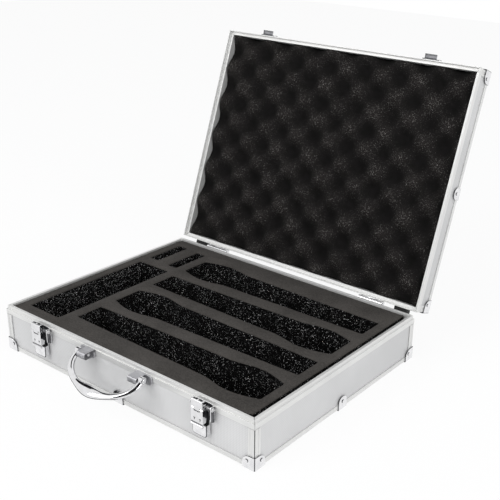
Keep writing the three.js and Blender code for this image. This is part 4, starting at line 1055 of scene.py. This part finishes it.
def latch_plate(name):
    """Back plate with two cheeks and a drawn lower body."""
    across = (-BODY_HALF, BODY_HALF)
    plate = block(name, (-LATCH_LEFT, LATCH_RIGHT), ON_WALL, (PLATE_LOW, PLATE_TOP))
    round_edges(plate, bars(1, lambda c: near(c.z, PLATE_TOP)), 5 * MM, 8)
    body = block("body", across, (-BODY_OUT, -FIT), (BODY_LOW, BODY_TOP))
    round_edges(body, bars(1, lambda c: near(c.z, BODY_LOW)), 4 * MM, 10)
    round_edges(body, edges_at(lambda c: near(c.y, -BODY_OUT)), 1.0 * MM, 4)
    neck = block("neck", across, ON_WALL, mm(-23.65, -16.3))
    cheeks = []
    for x in ((-LATCH_LEFT, SHEET - LATCH_LEFT), (LATCH_RIGHT - SHEET, LATCH_RIGHT)):
        cheek = block("cheek", x, (-CHEEK_OUT, -FIT), (PLATE_LOW, CHEEK_TOP))
        outer = lambda c: near(c.y, -CHEEK_OUT)
        shift(cheek, lambda c: outer(c) and near(c.z, PLATE_LOW), (0, 0, CHEEK_SLOPE))
        shift(cheek, lambda c: near(c.y, -FIT) and near(c.z, CHEEK_TOP), (0, 0, -CHEEK_SLOPE))
        round_edges(cheek, bars(0, outer), 2 * MM, 8)
        cheeks.append(cheek)
    weld(plate, body, neck, *cheeks)
    carve(plate, latch_pin_hole(20 * MM))
    return plate


def shaded_bay(face):
    """The back of the bay between the cheeks, painted dark as the shade in the bay."""
    return face.normal.y < -0.9 and abs(face.center.y - ON_WALL[0]) < 0.1 * MM


# The cheeks' outer sides, painted darker as shade.
def cheek_side(face):
    out, across = face.center.y < -1.4 * MM, abs(face.center.x) > BODY_HALF + 0.2 * MM
    return abs(face.normal.x) > 0.95 and out and across


def body_outline(face):
    """The bend round the drawn body's face, painted dark as a thin line of shade."""
    low = face.center.z < -23 * MM and face.center.y < -4.7 * MM
    return low and 0.05 < -face.normal.y < 0.99


def latch_lever(name):
    """Flap with a rolled lip, two webs and the straps round the claw's pin."""
    across = (-FLAP_HALF, FLAP_HALF)
    flap = block(name, across, FLAP, (LIP_UP, -8.05 * MM))
    parts = [rod("lip", across, -FLAP_OUT, LIP_UP, 1.1 * MM, 28)]
    web = [mm(-8.2, -20), mm(-8.2, -5.95), mm(-6.65, -4.66)]
    web += [mm(-5.93, -0.95), mm(-2.37, -2.76), mm(-4.2, -20)]
    for sign in (-1, 1):
        strap, side = (beside(sign, inner, FLAP_HALF) for inner in (STRAP_IN, WEB_IN))
        parts.append(block("strap", strap, FLAP, (-8.45 * MM, CLAW_UP)))
        parts.append(rod("knuckle", strap, -CLAW_OUT, CLAW_UP, CLAW_KNUCKLE, 28))
        parts.append(rod("eye", side, -LEVER_OUT, LEVER_UP, LEVER_EYE, 28))
        parts.append(from_outline("web", web, side))
    weld(flap, *parts)
    for above in mm(1.5, 2.7):
        slice_at(flap, (0, 0, LIP_UP + above), (0, 0, 1))
    carve(flap, claw_pin_hole(), latch_pin_hole(9 * MM))
    return flap


def above_lip(face):
    """The hollow where the flap bends out into its lip, painted dark as the shade that stays there.
    """
    low, high = mm(1.4, 2.8)
    return face.normal.y < -0.9 and low < face.center.z - LIP_UP < high


def cut_slots(flap):
    """The two T slots, punched last so that their corners stay sharp."""
    slots = []
    for x in mm(-3.4, 4.2):
        for half, heights in ((1.3 * MM, mm(-16.1, -15.3)), (0.4 * MM, mm(-18.2, -15.7))):
            slots.append(block("slot", (x - half, x + half), mm(-10, -7), heights))
    carve(flap, *slots)
    smooth(flap, 25)


def latch_claw(name):
    """Knuckle, narrow neck and wide plate, folded in at the top as a hook."""
    across = (-NECK_HALF, NECK_HALF)
    claw = block(name, (-FLAP_HALF, FLAP_HALF), FLAP, (-3.75 * MM, CLAW_TOP))
    slice_at(claw, (0, 0, CLAW_TOP - SHEET), (0, 0, 1))
    push(claw, facing((0, 1, 0), lambda c: c.z > CLAW_TOP - SHEET), (0, FLAP_IN - HOOK_IN, 0))
    fold = bars(0, lambda c: near(c.y, -FLAP_OUT) and near(c.z, CLAW_TOP))
    round_edges(claw, fold, 0.8 * MM, 5)
    knuckle = rod("knuckle", across, -CLAW_OUT, CLAW_UP, CLAW_KNUCKLE, 28)
    weld(claw, knuckle, block("neck", across, FLAP, (CLAW_UP, -3.35 * MM)))
    carve(claw, claw_pin_hole())
    for x in HOLLOWS:
        slice_at(claw, (x, 0, 0), (1, 0, 0))
    slice_at(claw, (0, HOLLOW_FROM, 0), (0, 1, 0))
    return claw


def hook_shade(face):
    """Two pressed hollows behind the fold, painted dark as the shade where the light does not
    reach.
    """
    x, y, z = face.center
    across = HOLLOWS[0] < x < HOLLOWS[1] or HOLLOWS[2] < x < HOLLOWS[3]
    return face.normal.z > 0.9 and z > 4 * MM and y > HOLLOW_FROM and across


# The hook's inner end, painted dark as shade.
def hook_end(face):
    return face.normal.y > 0.9 and face.center.y > -5.2 * MM


def latch_pin(name):
    """A pin with a flat-domed head at each end."""
    near_end, middle, far_end = mm(0.3, 0.7, 1.1)
    x = (-LATCH_LEFT - middle, LATCH_RIGHT + middle)
    pin = rod(name, x, -LEVER_OUT, LEVER_UP, LEVER_PIN, 24)
    left = (-LATCH_LEFT - far_end, -LATCH_LEFT - near_end)
    right = (LATCH_RIGHT + near_end, LATCH_RIGHT + far_end)
    for ends, outer in ((left, left[0]), (right, right[1])):
        head = rod("head", ends, -LEVER_OUT, LEVER_UP, LEVER_EYE, 28)
        round_edges(head, edges_at(lambda c: near(c.x, outer)), 0.6 * MM, 4)
        weld(pin, head)
    return pin


def latch_spring(name):
    """One wire: a leg down the plate, four and a half turns round the pin, a leg on the lever."""
    radius, leg, run = mm(1.9, 6, 4.95)
    turns, steps = 4.5, 90
    start = (LATCH_RIGHT - SHEET + FLAP_HALF - run) / 2
    points = [(start, radius - LEVER_OUT, LEVER_UP - down) for down in (leg, leg / 2)]
    for n in range(steps + 1):
        angle = 2 * math.pi * turns * n / steps
        points.append((
            start + run * n / steps,
            -(LEVER_OUT - radius * math.cos(angle)),
            LEVER_UP + radius * math.sin(angle),
        ))
    points.append((start + run, -(LEVER_OUT + radius), LEVER_UP - leg))
    wire = bpy.data.curves.new(name, "CURVE")
    wire.dimensions = "3D"
    wire.bevel_depth = 0.3 * MM
    wire.bevel_resolution = 2
    wire.use_fill_caps = True
    line = wire.splines.new("POLY")
    line.points.add(len(points) - 1)
    for knot, point in zip(line.points, points):
        knot.co = (*point, 1)
    only(new_object(name, wire))
    bpy.ops.object.convert(target="MESH")
    piece = bpy.context.active_object
    face_out(piece)
    bpy.ops.object.shade_smooth()
    return piece


def keeper(name):
    """A riveted plate with a ledge and a down-turned lip for the claw to pull on."""
    across = (-KEEPER_HALF, KEEPER_HALF)
    plate = block(name, mm(-12.8, 12.8), KEEPER_PLATE, mm(2.1, 11.85))
    round_edges(plate, bars(1, everything), 3 * MM, 8)
    ledge = block("ledge", across, (-KEEPER_OUT, -FIT), (KEEPER_LOW, KEEPER_TOP))
    lip_in = KEEPER_SHEET - KEEPER_OUT
    lip = block("lip", across, (-KEEPER_OUT, lip_in), (KEEPER_LIP, KEEPER_TOP))
    outline = [(-FIT, KEEPER_TOP), (-FIT, KEEPER_LOW)]
    outline += [(-KEEPER_OUT, KEEPER_LIP), (-KEEPER_OUT, KEEPER_TOP)]
    ends = [
        from_outline("end", outline, beside(sign, KEEPER_HALF - KEEPER_SHEET, KEEPER_HALF))
        for sign in (-1, 1)
    ]
    weld(plate, ledge, lip, *ends)
    for y in (LEDGE_ROOT, LEDGE_LIP):
        slice_at(plate, (0, y, 0), (0, 1, 0))
    return plate


def shaded_ledge_ends(face):
    """The ledge's underside at its root and lip, painted dark as shade."""
    _, y, z = face.center
    return face.normal.z < -0.5 and z < 2.3 * MM and (y > LEDGE_ROOT or y < LEDGE_LIP)


# The middle of the ledge's underside, painted mid grey as lighter shade.
def half_shaded_ledge(face):
    return face.normal.z < -0.5 and LEDGE_LIP < face.center.y < LEDGE_ROOT


# Shape, body, node, slot, finish, rounding, its steps, the painted shade along its edges, and the
# painted shade on some of its faces
LATCH = (
    (latch_plate, "base", "latch_plate", "plated_steel", nickel, 0.2 * MM, 2, painted_edge_shade, (
        (painted_deep_shade, shaded_bay), (painted_shade_satin, cheek_side), (dark_edge_and_shade, body_outline),
    )),
    (latch_pin, "base", "latch_lever_pin", "plated_steel", nickel, 0.08 * MM, 2, None, ()),
    (latch_spring, "base", "latch_spring", "plated_steel", spring_steel, 0, 0, None, ()),
    (latch_lever, "latch_lever", "latch_lever", "chrome", chrome, 0.2 * MM, 3, painted_edge_shade, (
        (dark_edge_and_shade, above_lip),
    )),
    (latch_claw, "latch_claw", "latch_claw", "chrome", chrome, 0.25 * MM, 2, painted_edge_shade, (
        (dark_edge_and_shade, hook_end), (painted_deep_shade, hook_shade),
    )),
    (keeper, "lid", "keeper", "chrome", chrome, 0.3 * MM, 2, painted_edge_shade, (
        (dark_edge_and_shade, shaded_ledge_ends), (painted_shade_satin, half_shaded_ledge),
    )),
)
ENDINGS = {latch_pin: "turned", latch_spring: "wire"}
for label, sign in PAIR:
    spot = moved(sign * LATCH_X, FRONT_Y, BASE_HEIGHT)
    for shape, body, node, slot, finish, width, steps, edge, marks in LATCH:
        node = f"{node}_{label}"
        piece = shape(f"{node}_{ENDINGS.get(shape, 'pressing')}")
        dress(piece, finish, *marks)
        if width:
            soften(piece, width, steps, edge_shade=edge)
        if shape is latch_lever:
            cut_slots(piece)
        put(piece, OPENED @ spot if body == "lid" else spot)
        settle(piece, body if body in SHELLS else node, finish, slot, node)
    for end, x in (("left", -KEEPER_RIVET_X), ("right", KEEPER_RIVET_X)):
        seat = OPENED @ spot @ moved(x, KEEPER_PLATE[0], KEEPER_RIVET_UP)
        add_rivet(f"keeper_{label}_rivet_{end}", seat, "lid", "chrome", f"keeper_{label}")


# Handle

def handle_bail(name):
    """The cast bail: a loop that swells to the grip in the middle, with an eye at each end."""
    tilt = math.radians(HANDLE_ANGLE)
    away = Vector((0, -math.sin(tilt), -math.cos(tilt)))
    normal = Vector((0, -math.cos(tilt), math.sin(tilt)))
    pivot = Vector((0, HANDLE_Y, HANDLE_Z))
    eased = lambda value: math.copysign(abs(value) ** 0.95, value)
    arm_half, arm_thick, grip_half, grip_thick = mm(3.6, 2.3, 6.58, 3.48)
    straight, reach, grip, outermost = mm(4, 30.2, 27, 56)
    count, sides = 72, 28
    stations = [(-BAIL_HALF, 0)]
    for n in range(count + 1):
        turn = math.pi * n / count
        distance = straight + reach * eased(math.sin(turn))
        stations.append((-BAIL_HALF * eased(math.cos(turn)), distance))
    stations.append((BAIL_HALF, 0))
    points, faces = [], []
    for n, (across, distance) in enumerate(stations):
        before, after = stations[max(n - 1, 0)], stations[min(n + 1, len(stations) - 1)]
        along = Vector((after[0] - before[0], after[1] - before[1])).normalized()
        swell = 0.5 + 0.5 * math.cos(math.pi * min(abs(across) / grip, 1))
        half = arm_half + (grip_half - arm_half) * swell
        thick = arm_thick + (grip_thick - arm_thick) * swell
        for side in range(sides):
            angle = 2 * math.pi * side / sides
            point = pivot + away * (distance + half * math.cos(angle) * along.x)
            point += normal * thick * math.sin(angle)
            point.x = across - half * math.cos(angle) * along.y
            points.append(tuple(point))
    last = (len(stations) - 1) * sides
    for first in range(0, last, sides):
        for side in range(sides):
            turn = (side + 1) % sides
            there = first + sides
            faces.append((first + side, first + turn, there + turn, there + side))
    faces += [tuple(range(sides)), tuple(range(last, last + sides))]
    bail = skin_of(name, points, faces)
    hub = (HANDLE_Y, HANDLE_Z)
    for sign in (-1, 1):
        inside, eye, outside = (
            beside(sign, *ends)
            for ends in ((BRACKET_IN, EYE_IN), (EYE_IN, EYE_END), (EYE_END, outermost))
        )
        weld(bail, rod("eye", eye, *hub, EYE_RADIUS, 40))
        carve(
            bail,
            rod("hole", beside(sign, BRACKET_IN, outermost), *hub, HANDLE_BORE, 28),
            rod("room", inside, *hub, BRACKET_REACH, 40),
            rod("room", outside, *hub, EYE_RADIUS + FIT, 40),
        )
    return bail


def handle_bracket(name):
    """A riveted plate with the block that carries the pin."""
    plate = block(name, mm(33, 54.5), mm(-2.7, -0.3), mm(-9.6, 0.8))
    round_edges(plate, bars(1, everything), 3 * MM, 8)
    heights = (BRACKET_BLOCK_LOW, BRACKET_TOP)
    body = block("body", mm(33, 46), (-BRACKET_PROUD, -FIT), heights)
    round_edges(body, bars(0, lambda c: near(c.y, -BRACKET_PROUD)), 2 * MM, 8)
    weld(plate, body)
    carve(plate, rod("bore", mm(32, 47), -HANDLE_OUT, HANDLE_UP, HANDLE_BORE, 28))
    return plate


# The ends of the bracket's block, painted darker as shade.
def block_end(face):
    return abs(face.normal.x) > 0.95 and face.center.y < -2.8 * MM


def handle_pin(name):
    """The pin, with its head outside the bail's eye."""
    pin = rod(name, mm(33, 52), -HANDLE_OUT, HANDLE_UP, 1.6 * MM, 24)
    ends = mm(51.4, 52.6)
    head = rod("head", ends, -HANDLE_OUT, HANDLE_UP, 2.6 * MM, 32)
    round_edges(head, edges_at(lambda c: near(c.x, ends[1])), 0.9 * MM, 5)
    weld(pin, head)
    return pin


bail = handle_bail("handle_bail_casting")
soften(bail, 0.25 * MM, 3, 35)
settle(bail, "handle", chrome, "chrome", "handle_bail")
for label, sign in PAIR:
    place = moved(0, FRONT_Y, BASE_HEIGHT) @ mirror(sign, 1, 1)
    node = f"handle_bracket_{label}"
    piece = handle_bracket(f"{node}_body")
    dress(piece, satin_casting, (painted_shade_satin, block_end))
    fit(piece, place, 0.25 * MM, "base", satin_casting, "chrome", node, steps=3)
    node = f"handle_pin_{label}"
    piece = handle_pin(f"{node}_body")
    fit(piece, place, 0.1 * MM, "base", nickel, "plated_steel", node, steps=3)


# Hinges and rubber feet, drawn in place on the back

def hinge_bar(name, x, radius):
    return rod(name, x, HINGE_Y, HINGE_Z, radius)


def hinge_leaf(name, z, knuckles, reliefs):
    """A leaf with rolled knuckles, cleared where the other leaf's knuckles turn."""
    leaf = block(name, (-LEAF_HALF, LEAF_HALF), LEAF_Y, z)
    round_edges(leaf, bars(1, lambda c: abs(c.z - HINGE_Z) > 10 * MM), 2 * MM, 6)
    weld(leaf, *[hinge_bar("knuckle", x, KNUCKLE_RADIUS) for x in knuckles])
    y = (REAR_Y - 1 * MM, HINGE_Y + RELIEF)
    carve(leaf, *[block("relief", x, y, (HINGE_Z - RELIEF, HINGE_Z + RELIEF)) for x in reliefs])
    return leaf


def hinge_stop(x):
    """The heel that the open lid's leaf comes to rest on."""
    angle = math.radians(LID_OPEN_ANGLE)

    def leaf_height(behind):
        along = (behind + LEAF_BACK * math.cos(angle)) / math.sin(angle)
        return along * math.cos(angle) + LEAF_BACK * math.sin(angle)

    far, reach = mm(5.4, 3.3)
    outline = [
        mm(-3.1, -15.6),
        (far, leaf_height(far) - 1.8 * MM),
        (far, leaf_height(far) - FIT),
        (reach, leaf_height(reach) - FIT),
        mm(-3.1, -3.3),
    ]
    return from_outline("stop", [(HINGE_Y + y, HINGE_Z + z) for y, z in outline], x)


def hinge_leaves(label):
    """The base's leaf and the lid's, each with its shell, node, place and its rivets' height."""
    edge, half = LEAF_HALF, MIDDLE_KNUCKLE
    gap, stop, height, rivet_in = mm(0.4, 3, 14, 9)
    base_node, lid_node = (f"hinge_{shell}_leaf_{label}" for shell in SHELLS)
    base_leaf = hinge_leaf(
        f"{base_node}_pressing",
        (BASE_HEIGHT - height, HINGE_Z),
        [(-edge, -half), (half, edge)],
        [(-half, half)],
    )
    weld(base_leaf, hinge_stop((-edge, -edge + stop)), hinge_stop((edge - stop, edge)))
    lid_leaf = hinge_leaf(
        f"{lid_node}_pressing",
        (HINGE_Z, HINGE_Z + height),
        [(-half + gap, half - gap)],
        [(-edge - gap, -half + gap), (half - gap, edge + gap)],
    )
    return (
        (base_leaf, "base", base_node, SHELLS["base"], BASE_HEIGHT - rivet_in),
        (lid_leaf, "lid", lid_node, OPENED, HINGE_Z + rivet_in),
    )


def add_hinge(label, centre):
    spot = moved(centre, 0, 0)
    leaves = hinge_leaves(label)
    for leaf, shell, node, place, _ in leaves:
        carve(leaf, hinge_bar("bore", mm(-20, 20), 1.5 * MM))
        fit(leaf, place @ spot, 0.15 * MM, shell, nickel, "plated_steel", node)
    pin_end = LEAF_HALF + 1 * MM
    pin = hinge_bar(f"hinge_pin_{label}_wire", (-pin_end, pin_end), 1.2 * MM)
    round_edges(pin, edges_at(lambda c: near(abs(c.x), pin_end)), 0.4 * MM, 3)
    put(pin, spot)
    smooth(pin, 60)
    settle(pin, "base", nickel, "plated_steel", f"hinge_pin_{label}")
    backwards = moved(0, LEAF_Y[1], 0) @ turned(180, "Z")
    for where, x in (("left", -HINGE_RIVET_X), ("middle", 0), ("right", HINGE_RIVET_X)):
        for _, shell, node, place, rivet_z in leaves:
            seat = place @ spot @ moved(x, 0, rivet_z) @ backwards
            add_rivet(f"{node}_rivet_{where}", seat, shell, "plated_steel", node)


def rear_foot(name):
    """A moulded pad, its corners cut off and its face dished."""
    outer = REAR_Y + FOOT_PROUD
    pad = block(name, mm(-9, 9), (REAR_Y - SKIN, outer), mm(-5, 5))
    round_edges(pad, bars(1, everything), 1.5 * MM, 3)
    inset(pad, facing((0, 1, 0)), 1.8 * MM, 0)
    middle = facing((0, 1, 0), lambda c: near(c.y, outer) and abs(c.x) < 1 * MM)
    inset(pad, middle, 0.5 * MM, -0.8 * MM)
    return pad


for label, sign in PAIR:
    add_hinge(label, sign * (CASE_WIDTH / 2 - 64.6 * MM))
    x = sign * (CASE_WIDTH / 2 - 26.6 * MM)
    for shell, place in (
        ("base", moved(x, 0, 24 * MM)),
        ("lid", OPENED @ moved(x, 0, BASE_HEIGHT + 14.5 * MM)),
    ):
        node = f"{shell}_rear_foot_{label}"
        foot = rear_foot(f"{node}_moulding")
        fit(foot, place, 0.5 * MM, shell, rubber, "rubber", node, steps=3)
    # The claws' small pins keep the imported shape
    claw_pin = nodes[f"latch_claw_pin_{label}"]
    claw_pin.data.materials.clear()
    claw_pin.data.materials.append(nickel)
bpy.data.objects.remove(rivet_pattern)


# Floor, light and camera

def bare_tree(owner):
    """The node tree of a material or world, emptied."""
    owner.use_nodes = True
    owner.node_tree.nodes.clear()
    return owner.node_tree


def with_white(tree, ground, share, surface, output):
    """Mixes in plain white for what the camera sees directly, or in metal and glass."""
    path = add(tree, "ShaderNodeLightPath").outputs
    seen = maths(tree, "MAXIMUM", path["Is Camera Ray"], path["Is Glossy Ray"])
    seen = maths(tree, "MAXIMUM", seen, path["Is Transmission Ray"])
    white = add(tree, ground, {"Color": (1, 1, 1, 1), "Strength": 1.0}).outputs[0]
    part = maths(tree, "MULTIPLY", seen, share)
    mixed = add(tree, "ShaderNodeMixShader", {0: part, 1: surface, 2: white}).outputs[0]
    add(tree, output, {"Surface": mixed})


def white_studio():
    world = bpy.data.worlds.new("white_studio")
    bpy.context.scene.world = world
    tree = bare_tree(world)
    glow = {"Color": (0.97, 0.98, 1.0, 1), "Strength": 0.66}
    glow = add(tree, "ShaderNodeBackground", glow).outputs[0]
    with_white(tree, "ShaderNodeBackground", 1.0, glow, "ShaderNodeOutputWorld")


def white_floor():
    place = (0, 0, CAP_LOW - 0.05 * MM)
    floor = primitive(bpy.ops.mesh.primitive_plane_add, "studio_floor", size=6, location=place)
    material = bpy.data.materials.new("white_paper_floor")
    tree = bare_tree(material)
    paper = add(tree, "ShaderNodeBsdfDiffuse", {"Color": (0.9, 0.9, 0.9, 1)}).outputs[0]
    with_white(tree, "ShaderNodeEmission", 0.9, paper, "ShaderNodeOutputMaterial")
    floor.data.materials.append(material)


def aimed(position, aim, axis):
    """The turn that points an axis at the aim."""
    return (Vector(aim) - Vector(position)).to_track_quat(axis, "Y").to_euler()


def lamp(name, position, aim, size, power):
    light = bpy.data.lights.new(name, "AREA")
    light.shape = "RECTANGLE"
    light.size, light.size_y = size
    light.energy = power
    holder = new_object(name, light)
    holder.location = position
    holder.rotation_euler = aimed(position, aim, "-Z")


flag_black = bpy.data.materials.new("black_card")
flag_tree = bare_tree(flag_black)
flag_shine = {"Color": colour("#18181a"), "Strength": 1.0}
flag_shine = add(flag_tree, "ShaderNodeEmission", flag_shine).outputs[0]
add(flag_tree, "ShaderNodeOutputMaterial", {"Surface": flag_shine})


def dark_flag(name, position, aim, size):
    """A black card that only polished metal shows, as dark streaks and outlines."""
    card = primitive(bpy.ops.mesh.primitive_plane_add, name, size=1)
    turn = aimed(position, aim, "Z").to_matrix().to_4x4()
    put(card, moved(*position) @ turn @ mirror(*size, 1))
    card.data.materials.append(flag_black)
    for ray in ("camera", "diffuse", "transmission", "shadow"):
        setattr(card, f"visible_{ray}", False)


def photograph():
    """The photograph's view, worked out from the case's corners in it."""
    azimuth, elevation, roll = (math.radians(a) for a in (36.989, 23.037, 1.652))
    back = Vector((
        math.sin(azimuth) * math.cos(elevation),
        -math.cos(azimuth) * math.cos(elevation),
        math.sin(elevation),
    ))
    level = Vector((math.cos(azimuth), math.sin(azimuth), 0))
    upright = back.cross(level)
    right = level * math.cos(roll) + upright * math.sin(roll)
    up = upright * math.cos(roll) - level * math.sin(roll)
    data = bpy.data.cameras.new("camera")
    data.sensor_width = 36
    data.lens = 63.095
    data.shift_x = -0.091
    data.shift_y = 0.026
    data.clip_start, data.clip_end = 0.05, 20
    camera = new_object("camera", data)
    turn = Matrix((right, up, back)).transposed().to_4x4()
    camera.matrix_world = moved(632.07 * MM, -676.93 * MM, 508.86 * MM) @ turn
    bpy.context.scene.camera = camera


white_studio()
white_floor()
lamp("left_softbox", (-0.55, -1.65, 1.4), (0, 0, 0.1), (1.6, 1.2), 21)
lamp("right_softbox", (1.9, -0.5, 1.0), (0, 0, 0.05), (1.2, 1.2), 17.8)
CARD_UP = -1.5 * MM  # of the cards that lie on the floor
for name, position, aim, size in (
    ("flag_above_the_camera", (0.34, -1.06, 0.98), (0, 0, 0.05), (2.0, 1.7)),
    ("flag_high_on_the_left", (-1.12, 0.22, 0.98), (0, 0, 0.05), (0.85, 0.6)),
    ("flag_overhead", (-0.39, -0.47, 1.37), (0, 0, 0.05), (0.9, 0.55)),
    ("flag_on_the_floor", (0.76, -0.71, CARD_UP), (0.76, -0.71, 1), (1.1, 1.1)),
    ("flag_under_the_handle", (-0.05, -0.185, CARD_UP), (-0.05, -0.185, 1), (0.17, 0.06)),
):
    dark_flag(name, position, aim, size)
photograph()
bpy.context.scene.view_settings.view_transform = "Standard"
